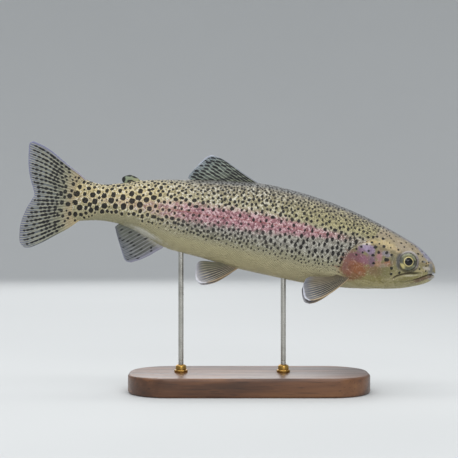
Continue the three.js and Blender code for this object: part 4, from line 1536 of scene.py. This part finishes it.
@dataclass(frozen=True)
class Dashes:
    """Dark marks on a fin: rows of dashes between its rays, and spots placed one by one.

    Every second row starts further out, where the rays have spread.
    """

    gap: float = 0.0
    wide: Pair = (1.0, 0.7)
    long: Pair = (2.0, 1.7)
    starts: Pair = (1.0, 1.0)
    blots: Ovals = ()
    reach: float = 4.0

    def edge(self, fin: "Fin", s: Array, t: Array, flat: Array, along: Array) -> Array:
        """How far points of a fin are outside the nearest mark, in millimetres.

        Args:
            fin: the fin.
            s: share of the way from the leading line to the trailing one.
            t: share of the way from the root to the margin.
            flat: station and height of each point.
            along: distance out from the root.

        Returns:
            The distances, negative inside a mark.
        """
        edge = np.full(len(s), self.reach)
        for u, v, long, tall in self.blots:
            gauge = np.hypot((flat[:, 0] - u) / long, (flat[:, 1] - v) / tall)
            edge = np.minimum(edge, (gauge - 1.1) * min(long, tall))
        if not self.gap:
            return edge
        random = np.random.default_rng(len(fin.name) + fin.rays)
        inner = np.clip(s, 0.01, 0.99)
        middle = np.clip(t, 0.02, 0.98)
        step = fin.patch(inner + 0.01, middle) - fin.patch(inner - 0.01, middle)
        way = fin.patch(inner, middle + 0.01) - fin.patch(inner, middle - 0.01)
        way /= np.linalg.norm(way, axis=1, keepdims=True)
        spread = np.abs(step[:, 0] * way[:, 1] - step[:, 1] * way[:, 0]) / (0.02 * fin.rays)
        reach = float(along.max())
        for number in range(1, fin.rays):
            near = np.abs(s * fin.rays - number) < 0.9
            row = np.arange(self.starts[number % 2] + self.gap * random.uniform(0, 1), reach, self.gap)
            row = row[random.uniform(0, 1, len(row)) > 0.06]
            row += self.gap * random.uniform(-0.2, 0.2, len(row))
            if not near.any() or not len(row):
                continue
            wide = np.interp(row, (0, reach), self.wide) * random.uniform(0.8, 1.2, len(row))
            long = np.interp(row, (0, reach), self.long) * random.uniform(0.75, 1.25, len(row))
            wide = np.minimum(wide, 0.44 * spread[near][:, None])
            across = (s[near] * fin.rays - number) * spread[near]
            gauge = np.hypot(across[:, None] / wide, (along[near][:, None] - row) / long)
            edge[near] = np.minimum(edge[near], ((gauge - 1) * wide).min(axis=1))
        return edge + 1.6 * smooth(t, 0.93, 1.0) + 1.2 * smooth(s * fin.rays, 0.8, 0.2)


@dataclass(frozen=True)
class Fin:
    """A fin between four lines in side view, with rays that branch towards its margin.

    The leading and trailing lines run from the root to the margin, and the root and the margin
    run from the leading line to the trailing one. A paired fin leans outwards from its root.
    """

    name: str
    root: Points
    leading: Points
    margin: Points
    trailing: Points
    finish: FinFinish
    nodes: tuple[str, ...]
    rays: int = 12
    thick: Pair = (2.2, 0.5)
    side: Side | None = None
    hinge: Points = ((0, 0), (1, 0))
    lean: float = 0.0
    droop: float = 0.0
    ruffle: float = 0.4
    rows: int = 56
    across: int = 8
    sunk: float = 2.5
    scallop: float = 0.25
    branch_at: float = 0.42
    dashes: Dashes = Dashes()

    def build(self, body: Body, pose: Pose) -> Piece:
        """Bends a grid into the fin, thickens it by its rays, and dresses it.

        Args:
            body: the fish's form.
            pose: where the fish's frame lies.

        Returns:
            The piece.
        """
        columns = max(self.rays, 3) * self.across
        deselect_all()
        bpy.ops.mesh.primitive_grid_add(x_subdivisions=columns, y_subdivisions=self.rows, size=1)
        piece = added(self.name)
        grid = vertices_of(piece)
        s, t = grid[:, 0] + 0.5, grid[:, 1] + 0.5
        ridge = self.ridge(s, t)
        flat = self.patch(s, np.minimum(t, 1 - 0 * t))
        pulled = self.patch(s, t * (1 - 0.02 * self.scallop * (1 - ridge) * smooth(t, 0.8, 1.0)))
        u, v = pulled.T
        points = self.bent(body, u, v, s, t)
        move_vertices(piece, pose.place(points))
        leading, margin = Curve(self.leading), Curve(self.margin)
        length = np.linalg.norm(flat - self.patch(s, 0 * t), axis=1)
        from_front = s * self.rays
        from_edge = (1 - t) * leading.length()
        if self.rays == 0:
            from_front = np.abs(leading.distance(u, v)[0])
            from_edge = np.minimum(from_edge, np.abs(margin.distance(u, v)[0]))
        write_attribute(piece.data, "ray", s * max(self.rays, 6), length, t)
        write_attribute(piece.data, "fin", ridge, from_front, from_edge)
        write_attribute(piece.data, "dark", self.dashes.edge(self, s, t, flat, length), s, t)
        self.thicken(piece, t, s, ridge)
        shade(piece)
        enter(piece, Slot.FIN, self.finish.material(), *self.nodes)
        return piece

    def on(self, side: Side) -> "Fin":
        """This paired fin on one side; only the left one droops."""
        word = side.name.lower()
        nodes = tuple(f"{node}_{word}" for node in self.nodes)
        droop = self.droop if side is Side.LEFT else 0.0
        return replace(self, name=f"{self.name}_{word}", nodes=nodes, side=side, droop=droop)

    def ridge(self, s: Array, t: Array) -> Array:
        """Height of the rays over the membrane, from 0 to 1, each ray splitting in two."""
        if self.rays == 0:
            return np.full(len(s), 0.5)
        beside = np.abs((s * self.rays) % 1.0 - 0.5)
        split = 0.24 * smooth(t, self.branch_at, 1.0)
        width = 0.17 - 0.06 * smooth(t, self.branch_at, 0.9)
        return bell(np.abs(beside - split), width)

    def patch(self, s: Array, t: Array) -> Array:
        """Stations and heights between the four lines."""
        root, margin, leading, trailing = (
            Curve(line) for line in (self.root, self.margin, self.leading, self.trailing)
        )
        a, b = s[:, None], t[:, None]
        sides = (1 - a) * leading.at(t) + a * trailing.at(t)
        ends = (1 - b) * root.at(s) + b * margin.at(s)
        zero, one = np.zeros(1), np.ones(1)
        corners = (1 - a) * (1 - b) * root.at(zero) + a * (1 - b) * root.at(one)
        corners = corners + (1 - a) * b * margin.at(zero) + a * b * margin.at(one)
        return sides + ends - corners

    def bent(self, body: Body, u: Array, v: Array, s: Array, t: Array) -> Array:
        """Points of the fin's middle sheet: in the middle plane, or leaning out from a side."""
        wave = self.ruffle * t**1.5 * (
            np.sin(2 * math.pi * (2.3 * s + 0.15)) + 0.35 * np.sin(2 * math.pi * (s * self.rays / 2 + 0.3))
        )
        if self.side is None:
            return np.stack([u, wave + body.swing(u), v], axis=1)
        start, end = np.array(self.hinge[0]), np.array(self.hinge[1])
        way = (end - start) / np.linalg.norm(end - start)
        away = np.abs((u - start[0]) * way[1] - (v - start[1]) * way[0])
        middle = (start + end) / 2
        root_side = float(body.side_at(middle[:1], middle[1:])[0]) - self.sunk
        turn = math.radians(-self.droop)
        du, dv = u - start[0], v - start[1]
        u2 = start[0] + du * math.cos(turn) - dv * math.sin(turn)
        v2 = start[1] + du * math.sin(turn) + dv * math.cos(turn)
        out = self.side.value * (root_side + self.lean * away + wave) + body.swing(u2)
        return np.stack([u2, out, v2], axis=1)

    def thicken(self, piece: Piece, t: Array, s: Array, ridge: Array) -> None:
        """Gives the sheet its thickness, most on the rays and at the root."""
        root, tip = self.thick
        if self.rays == 0:
            round_ = np.sqrt(np.clip(4 * s * (1 - s), 0.02, 1)) * np.sqrt(np.clip(1 - t**2.4, 0.02, 1))
            thickness = root * round_
        else:
            thickness = (tip + (root - tip) * (1 - t) ** 1.2) * (0.5 + 0.5 * ridge)
            front = bell(s * self.rays, 0.5) * 0.45 * (1 - 0.5 * t)
            thickness = thickness + front * (1 - bell(1 - t, 0.03))
        thickness = np.maximum(thickness, 0.3)
        most = float(thickness.max())
        group = piece.vertex_groups.new(name="thickness")
        for index, weight in enumerate((thickness / most).tolist()):
            group.add([index], weight, "REPLACE")
        wall = piece.modifiers.new("wall", "SOLIDIFY")
        wall.thickness = most * MM
        wall.offset = 0.0
        wall.vertex_group = group.name
        wall.use_even_offset = False
        apply_modifiers(piece)
        piece.vertex_groups.clear()


CAUDAL_FINISH = FinFinish(
    "caudal_fin",
    ((0, "b8a983"), (0.18, "aa9b7c"), (0.34, "84826c"), (0.5, "666860"), (0.85, "636970"), (1, "6e7286")),
    ray="b7b49c", ray_strength=0.64, rays_from=0.16, margin="7c80a0", front="74759a", front_width=1.0,
)
DORSAL_FINISH = FinFinish(
    "dorsal_fin", ((0, "5f5d43"), (0.3, "585c50"), (0.8, "566060"), (1, "788090")), ray="b0b8a6",
    ray_strength=0.7, ray_span=(0.3, 0.9), margin="c2c6d8", front="8d8ea6", margin_width=1.6,
    front_width=0.7,
)
# The pale stops at the anal fin's root paint a highlight along its base.
ANAL_FINISH = FinFinish(
    "anal_fin", ((0, "c4c1b4"), (0.08, "a5a294"), (0.2, "63635c"), (0.6, "50524e"), (1, "5c6068")),
    ray="a3a3a4", ray_strength=0.55, rear_rays=0.3, front="9290a2", margin="83869a", front_width=2.2,
    rear="62655a", rear_strength=0.75,
)
PELVIC_FINISH = FinFinish(
    "pelvic_fin", ((0, "917c60"), (0.2, "4c4438"), (0.6, "3f3c38"), (0.8, "66666c"), (1, "a8a8b2")),
    ray="dccfae", ray_strength=0.85, ray_span=(0.45, 1.0), rear_rays=0.3, front="a68c68", margin="e2e2ea",
    front_width=1.2, margin_width=2.8, rear="5a5844", rear_strength=0.85,
)
PECTORAL_FINISH = FinFinish(
    "pectoral_fin", ((0, "8a7360"), (0.15, "3c362e"), (0.5, "2e2c2a"), (0.72, "45474d"), (1, "6c6f7a")),
    ray="d6c9a8", ray_strength=0.9, ray_span=(0.5, 1.0), rear_rays=0.25, front="b29a76", margin="d6d8e4",
    front_width=1.3, margin_width=2.6, rear="665c48", rear_strength=0.85,
)
ADIPOSE_FINISH = FinFinish(
    "adipose_fin", ((0, "a3996e"), (0.45, "8b9273"), (1, "7c8a7c")), ray="8f9270", ray_strength=0.1,
    margin="26262a", front="6a6848", front_width=1.0, margin_width=1.3,
)


MEDIAN_FINS = (
    Fin(
        "fin_dorsal", root=((178.5, 47), (195, 46), (212, 43.6), (228, 40)),
        leading=(
            (178.5, 47), (180.5, 50.2), (188, 53.4), (197.6, 57.6), (206.4, 61.8), (215.8, 66), (223, 68.2),
        ),
        margin=(
            (223, 68.2), (230.8, 69), (235.6, 66.2), (240.2, 60.4), (244.6, 53.6), (248.6, 47.2),
            (249.4, 43.6),
        ),
        trailing=((228, 40), (238, 40.6), (249.4, 43.6)), finish=DORSAL_FINISH, nodes=("dorsal_fin",),
        rays=12, thick=(2.6, 0.5), ruffle=0.5, across=12, rows=72,
        dashes=Dashes(6.2, (1.45, 1.1), (2.4, 1.9), (1.0, 4.0)),
    ),
    Fin(
        "fin_adipose", root=((292.5, 30), (298, 29), (304, 26.5)),
        leading=((292.5, 30), (294.6, 33.4), (298.4, 35.6), (304.6, 36.6), (309, 34.9)),
        margin=((309, 34.9), (311.2, 33), (311.5, 30.6), (310.4, 28.6)),
        trailing=((304, 26.5), (307, 27), (310.4, 28.6)), finish=ADIPOSE_FINISH, nodes=("adipose_fin",),
        rays=0, thick=(2.6, 1.2), ruffle=0.0, rows=24, across=14,
        dashes=Dashes(
            blots=((310.5, 31, 2.2, 3), (302.5, 30, 3.2, 1.8), (299, 35.5, 2.4, 1.0), (306, 36, 3, 1.1))
        ),
    ),
    Fin(
        "fin_anal", root=((260, -23.5), (272, -18.5), (286, -13.4), (302, -9.6)),
        leading=((260, -23.5), (261, -26.6), (265.6, -30.4), (272.6, -36.4), (280.4, -41.8), (288.6, -46)),
        margin=((288.6, -46), (293.6, -45.6), (297.4, -40.6), (301.8, -32.4), (306.6, -22.8), (310, -15.2)),
        trailing=((302, -9.6), (306.5, -11.4), (310, -15.2)), finish=ANAL_FINISH, nodes=("anal_fin",),
        rays=13, thick=(2.2, 0.5), ruffle=0.5, across=10,
        dashes=Dashes(12.0, (0.65, 0.5), (1.3, 1.0), (16, 5), ((272, -28.5, 0.9, 0.9),)),
    ),
    Fin(
        "fin_caudal", root=((343, 22.5), (347, 15), (349, 4), (347.5, -6), (344.5, -15)),
        leading=(
            (343, 22.5), (352, 28.6), (362.4, 33.9), (373.2, 39.9), (384.1, 46), (394.6, 50), (403.2, 52),
        ),
        margin=(
            (403.2, 52), (406.5, 49.6), (406, 42), (403.2, 27), (399, 15.2), (394.8, 6.6), (392.8, 1),
            (394.6, -4.2), (398.2, -14), (400.8, -27), (400.6, -37), (398.4, -46.6), (393, -50.8),
        ),
        trailing=((344.5, -15), (354.6, -25), (365.4, -33.6), (376.4, -42.4), (387, -49.2), (393, -50.8)),
        finish=CAUDAL_FINISH, nodes=("caudal_fin_upper", "caudal_fin_lower"), rays=24, thick=(3.2, 0.5),
        ruffle=0.5, rows=84, across=10, dashes=Dashes(4.5, (1.8, 0.58), (1.6, 1.75), (18, 22), TAIL_SPOTS),
    ),
)
PAIRED_FINS = (
    Fin(
        "fin_pectoral", root=((81, -20), (84, -18.4), (87.6, -17.4), (90.6, -17.4)),
        leading=(
            (81, -20), (82.4, -24), (88.4, -30.9), (94.8, -37.4), (102.2, -43.4), (110.3, -47.9),
            (116.7, -49.5),
        ),
        margin=((116.7, -49.5), (121.1, -47.7), (123.3, -42.6), (124.2, -36), (122.6, -30.3)),
        trailing=((90.6, -17.4), (96.7, -23.2), (107.2, -25.7), (118.6, -27.6), (122.6, -30.3)),
        finish=PECTORAL_FINISH, nodes=("pectoral_fin",), rays=12, branch_at=0.68, thick=(2.2, 0.5),
        hinge=((81, -22), (90, -19)), lean=0.42, droop=11.0,
    ),
    Fin(
        "fin_pelvic", root=((185, -29.5), (190, -28), (198, -26.8)),
        leading=((185, -29.5), (186.8, -33), (191.4, -37), (198.4, -42.9), (206.4, -48.4), (214.6, -51.8)),
        margin=((214.6, -51.8), (220.8, -52.4), (224.2, -49.6), (225.8, -43.4), (226.1, -36.4)),
        trailing=((198, -26.8), (206, -30.4), (218, -31.4), (224, -33), (226.1, -36.4)),
        finish=PELVIC_FINISH, nodes=("pelvic_fin",), rays=10, branch_at=0.62, thick=(2.0, 0.5),
        hinge=((185, -32), (198, -30)), lean=0.3, droop=5.0,
    ),
)


# ---- eyes


@dataclass
class Eyes:
    """The two eyes: a domed iris with a bulging lens in its pupil."""

    body: Body
    plan: EyePlan
    pose: Pose
    lens_rise: float = 0.55
    lens_radius: float = 4.2

    def build(self) -> list[Piece]:
        """Makes both eyes."""
        finish = self.material()
        return [self.one(side, finish) for side in Side]

    def one(self, side: Side, finish: Material) -> Piece:
        """Shapes a sphere into one eye, and dresses it."""
        deselect_all()
        bpy.ops.mesh.primitive_uv_sphere_add(segments=96, ring_count=80, radius=1)
        piece = added(f"trout_eye_{side.name.lower()}")
        x, y, z = vertices_of(piece).T
        gap = np.hypot(x, y) * self.plan.radius
        rise = self.lens_rise * smooth(gap, self.lens_radius, self.lens_radius - 2.6) * (z > 0)
        local = np.stack([x * self.plan.radius, y * self.plan.radius, z * self.plan.depth + rise], axis=1)
        middle, axes = self.plan.axes(self.body, side)
        centre = middle + axes[2] * (self.plan.proud - self.plan.depth)
        move_vertices(piece, self.pose.place(centre + local @ axes))
        face_outwards(piece)
        while piece.data.uv_layers:
            piece.data.uv_layers.remove(piece.data.uv_layers[0])
        write_attribute(piece.data, "iris", *local.T)
        shade(piece)
        enter(piece, Slot.EYE, finish, f"eye_{side.name.lower()}")
        return piece

    def material(self) -> Material:
        """Paints the pupil, its bright ring, the mottled iris and its dark rim, with a painted shadow
        crescent at the iris's rear.
        """
        p = Paint("trout_eye", 0.2, Specular_IOR_Level=0.1, Coat_Weight=0.6, Coat_Roughness=0.03)
        iris = p.attribute("iris")
        x, y, _ = p.split(iris)
        x = p.math("ADD", x, 0.8)
        flat = p.join(x, y)
        away = p.node("ShaderNodeVectorMath", {0: flat}, "Value", operation="LENGTH")
        tall = p.math("ABSOLUTE", y)
        pointed = p.math("SUBTRACT", away, p.both(p.fade(x, 0.5, 4.5), p.fade(tall, 2.4, 0.2), 0.4))
        uneven = p.noise(flat, 0.35, 3.0, 0.6)
        colour = p.ramp(
            p.math("DIVIDE", away, 9.0),
            ((0.0, "a8985a"), (0.44, "a39658"), (0.5, "837b4c"), (0.62, "747254"), (0.78, "8c8c6e"),
             (0.87, "7d8270"), (0.93, "4a4e46"), (1.0, "23251f")),
        )
        colour = p.shade_by(colour, uneven, 0.4, 1.5)
        angle = p.math("ARCTAN2", y, x)
        spokes = p.noise(p.join(p.both(angle, 3.0), p.both(away, 0.35)), 2.2, 3.0, 0.6)
        colour = p.shade_by(colour, spokes, 0.75, 1.25)
        top = p.both(p.fade(y, 1.0, 6.0), p.fade(away, 4.4, 6.4))
        colour = p.mix(p.both(top, p.fade(uneven, 0.42, 0.62), 0.75), colour, "3f4236")
        low = p.both(p.fade(y, -2.5, -6.0), p.fade(x, -3.5, 1.0), p.fade(away, 4.6, 6.4))
        colour = p.mix(p.both(low, 0.7), colour, "38382a")
        front = p.both(p.fade(x, 4.0, 5.2), p.fade(tall, 3.6, 1.2), p.fade(x, 9.0, 7.4))
        colour = p.mix(p.both(front, 0.9), colour, "2a2922")
        # Painted shadow: a dark crescent at the rear edge of the iris.
        behind = p.both(p.fade(x, -4.4, -6.4), p.fade(tall, 4.4, 1.6))
        colour = p.mix(p.both(behind, 0.75), colour, "3d4144")
        glint = p.both(p.fade(x, -1.0, -4.0), p.fade(y, -2.0, -4.0))
        glint = p.both(glint, p.fade(away, 8.7, 7.8), p.fade(away, 4.6, 5.6), 0.85)
        colour = p.mix(glint, colour, "cabd7c")
        ring = p.both(p.fade(pointed, 3.7, 3.95), p.fade(pointed, 4.7, 4.25))
        colour = p.mix(p.both(ring, 0.8), colour, "d2c48a")
        colour = p.mix(p.fade(pointed, 3.95, 3.65), colour, "050608")
        return p.done(colour)


# ---- stand


@dataclass(frozen=True)
class WoodFinish:
    """Oiled dark wood with a lengthwise grain."""

    name: str = "stand_wood"

    def material(self) -> Material:
        """Paints long fibres, growth bands and small pores."""
        p = Paint(self.name, 0.38, Specular_IOR_Level=0.4, Coat_Weight=0.25, Coat_Roughness=0.25)
        place = p.place()
        warped = p.noise(p.scaled(place, (1.2, 6.0, 6.0)), 1.5, 3.0)
        stretched, bent = p.scaled(place, (2.2, 26.0, 26.0)), p.join(warped, warped, warped)
        grown = p.node("ShaderNodeVectorMath", {0: stretched, 1: bent}, operation="ADD")
        bands = p.noise(grown, 2.0, 4.0, 0.6)
        fibres = p.noise(p.scaled(place, (14.0, 420.0, 420.0)), 1.0, 3.0, 0.7)
        colour = p.ramp(bands, ((0.3, "3b2415"), (0.45, "54341f"), (0.55, "6b452a"), (0.7, "7d5534")))
        colour = p.shade_by(colour, fibres, 0.72, 1.22)
        pores = p.fade(p.noise(p.scaled(place, (40.0, 900.0, 900.0)), 1.0, 1.0), 0.62, 0.7)
        colour = p.mix(p.both(pores, 0.5), colour, "24150c")
        rough = p.fade(fibres, 0.2, 0.8, 0.3, 0.48)
        return p.done(colour, rough, p.bump(fibres, 0.00015))


@dataclass(frozen=True)
class MetalFinish:
    """Turned or brushed metal, marked round an upright axis."""

    name: str
    colour: str
    dull: str
    roughness: float = 0.3

    def material(self) -> Material:
        """Paints fine turning marks and a little tarnish."""
        p = Paint(self.name, self.roughness, Metallic=1.0)
        place = p.place()
        marks = p.noise(p.scaled(place, (30.0, 30.0, 5200.0)), 1.0, 2.0)
        tarnish = p.noise(place, 90.0, 4.0, 0.6)
        colour = p.mix(p.fade(tarnish, 0.45, 0.75, 0.0, 0.6), self.colour, self.dull)
        rough = p.fade(marks, 0.3, 0.7, self.roughness - 0.07, self.roughness + 0.09)
        return p.done(colour, rough, p.bump(marks, 0.00004))


@dataclass
class Stand:
    """The flat wooden base, and two rods that stand in turned collars."""

    corner: float = 0.040
    softened: float = 0.0025
    ends: tuple[str, ...] = ("front", "rear")

    def build(self) -> list[Piece]:
        """Makes the whole stand."""
        steel = MetalFinish("stand_steel", "b9b7b0", "8e8b84").material()
        brass = MetalFinish("stand_brass", "b8924e", "8a6a38", 0.26).material()
        made = [self.base()]
        for end in self.ends:
            made.append(self.rod(end, steel))
            made.append(self.collar(end, brass))
        return made

    def base(self) -> Piece:
        """A block with round corners and softened edges."""
        low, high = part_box("stand_base")
        size, middle = high - low, (low + high) / 2
        deselect_all()
        bpy.ops.mesh.primitive_cube_add(size=1, location=middle, scale=size)
        piece = added("stand_base_board")
        vertices = piece.data.vertices

        def upright(edge: bpy.types.MeshEdge) -> bool:
            """True for the four upright edges."""
            a, b = (vertices[i].co for i in edge.vertices)
            return abs(a.z - b.z) > size.z / 2

        def flat(edge: bpy.types.MeshEdge) -> bool:
            """True for an edge round the top or the underside."""
            a, b = (vertices[i].co for i in edge.vertices)
            return abs(a.z - b.z) < 1e-5 and min(a.z - low.z, high.z - a.z) < 1e-5

        for picked, offset, segments in ((upright, self.corner, 24), (flat, self.softened, 5)):
            bevel = partial(bpy.ops.mesh.bevel, offset=offset, segments=segments, affect="EDGES")
            edit_picked(piece, "EDGE", picked, bevel)
        shade(piece, 25)
        enter(piece, Slot.WOOD, WoodFinish().material(), "stand_base")
        return piece

    def turned(self, name: str, x: float, rings: Points) -> Piece:
        """A turned piece: a ring of vertices extruded up through (radius, height) steps.

        Args:
            name: the piece's name.
            x: where its upright axis stands.
            rings: radius and height of each step, from the foot up, in metres.

        Returns:
            The piece, closed at both ends.
        """
        deselect_all()
        radius, foot = rings[0]
        bpy.ops.mesh.primitive_circle_add(
            vertices=56, radius=radius, location=(x, 0, foot), fill_type="NGON"
        )
        piece = added(name)
        for (before, last), (after, height) in zip(rings[:-1], rings[1:]):

            def top(face: bpy.types.MeshPolygon, z: float = last) -> bool:
                """True for the face that closes the piece at a height."""
                return abs(face.center.z - z) < 1e-6 and len(face.vertices) > 8

            extrude(piece, "FACE", top, height - last, after / before, (x, 0, height))
        face_outwards(piece)
        return piece

    def rod(self, end: str, finish: Material) -> Piece:
        """A steel rod with a chamfered shoulder where it enters the belly."""
        low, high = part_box(f"stand_rod_{end}")
        radius, x = (high.x - low.x) / 2, (low.x + high.x) / 2
        rings = (
            (radius, low.z - 0.0003), (radius, low.z + 0.0095), (radius * 0.93, low.z + 0.0098),
            (radius * 0.93, low.z + 0.0104), (radius, low.z + 0.0107), (radius, high.z - 0.0012),
            (radius * 0.6, high.z),
        )
        piece = self.turned(f"stand_{end}_rod", x, rings)
        shade(piece, 20)
        enter(piece, Slot.ROD, finish, f"stand_rod_{end}")
        return piece

    def collar(self, end: str, finish: Material) -> Piece:
        """A brass collar with a foot, a waist and a rounded shoulder."""
        low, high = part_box(f"stand_collar_{end}")
        radius, x, tall = (high.x - low.x) / 2, (low.x + high.x) / 2, high.z - low.z
        waist, neck = radius * 0.8, radius * 0.46
        steps = (
            (radius * 0.97, -0.0003 / tall), (radius, 0.05), (radius, 0.2), (radius * 0.95, 0.27),
            (waist, 0.32), (waist, 0.72), (waist * 0.96, 0.82), (waist * 0.84, 0.91),
            (waist * 0.7, 0.96), (neck, 1.0), (neck * 0.95, 0.9),
        )
        rings = tuple((r, low.z + share * tall) for r, share in steps)
        piece = self.turned(f"stand_{end}_collar", x, rings)
        shade(piece, 28)
        enter(piece, Slot.COLLAR, finish, f"stand_collar_{end}")
        return piece


# ---- studio


@dataclass
class Studio:
    """A pale floor that curves up all round, soft light, and the camera."""

    pose: Pose
    floor_radius: float = 2.3
    cove: float = 1.4
    cove_steps: int = 12
    camera_place: Triple = (-0.198014, -1.037, 0.154986)
    lens: float = 85.04

    def build(self) -> None:
        """Makes the floor, the lights and the camera."""
        self.floor()
        self.light("overhead", (0.05, -0.15, 1.75), (0, 0), (2.4, 1.5), 26.0)
        self.light("front_fill", (0.35, -1.9, 0.85), (68, 10), (1.6, 1.0), 14.0)
        self.light("back_fill", (-0.4, 1.9, 1.0), (-66, 10), (1.6, 1.0), 11.0)
        world = bpy.data.worlds.new("studio_air")
        world.use_nodes = True
        world.node_tree.nodes["Background"].inputs[0].default_value = (0.93, 0.96, 1.0, 1.0)
        world.node_tree.nodes["Background"].inputs[1].default_value = 0.62
        bpy.context.scene.world = world
        bpy.context.scene.view_settings.view_transform = "Standard"
        deselect_all()
        x, y, z = self.camera_place
        bpy.ops.object.camera_add(location=(self.pose.forward * MM + x, y, z), rotation=(math.pi / 2, 0, 0))
        camera = bpy.context.object
        camera.data.lens = self.lens
        camera.data.sensor_width = 36.0
        bpy.context.scene.camera = camera

    def light(self, name: str, place: Triple, turn: Pair, size: Pair, power: float) -> None:
        """Adds one soft rectangular light, turned by degrees about x and z."""
        deselect_all()
        rotation = (math.radians(turn[0]), 0, math.radians(turn[1]))
        bpy.ops.object.light_add(type="AREA", location=place, rotation=rotation)
        lamp = bpy.context.object
        lamp.name = name
        lamp.data.shape = "RECTANGLE"
        lamp.data.size, lamp.data.size_y = size
        lamp.data.energy = power

    def floor(self) -> None:
        """A disc whose rim is extruded outwards and up in a wide cove."""
        deselect_all()
        bpy.ops.mesh.primitive_circle_add(vertices=96, radius=self.floor_radius, fill_type="NGON")
        piece = added("studio_floor")
        rim = self.floor_radius
        height = 0.0
        for step in range(1, self.cove_steps + 1):
            turn = math.radians(80 * step / self.cove_steps)
            wide = self.floor_radius + self.cove * math.sin(turn)
            up = self.cove * (1 - math.cos(turn))
            vertices = piece.data.vertices

            def outer(edge: bpy.types.MeshEdge, r: float = rim) -> bool:
                """True for an edge of the rim."""
                return all(math.hypot(*vertices[i].co.xy) > r - 1e-4 for i in edge.vertices)

            extrude(piece, "EDGE", outer, up - height, wide / rim, (0, 0, 0))
            rim, height = wide, up
        shade(piece)
        p = Paint("studio_paper", 0.85, Specular_IOR_Level=0.2)
        colour = p.shade_by(paint("c6c8c8"), p.noise(p.place(), 3.0, 3.0), 0.985, 1.015)
        piece.data.materials.append(p.done(colour, None, p.bump(p.noise(p.place(), 900.0, 2.0), 0.00004)))


# ---- assembly


def main() -> None:
    """Builds the fish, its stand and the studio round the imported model."""
    logging.basicConfig(level=logging.INFO, format="%(message)s")
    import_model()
    body = Body()
    eye = EyePlan()
    pose = Pose.from_frame(body)
    relief = Relief(body, eye)
    markings = Markings(body, relief)
    log.info("%d spots", len(markings.spots))
    Studio(pose).build()
    Skin(body, relief, markings, pose).build()
    Coat(body, relief, markings, pose).build()
    Eyes(body, eye, pose).build()
    for fin in (*MEDIAN_FINS, *(fin.on(side) for side in Side for fin in PAIRED_FINS)):
        fin.build(body, pose)
    Stand().build()


if __name__ == "__main__":
    main()
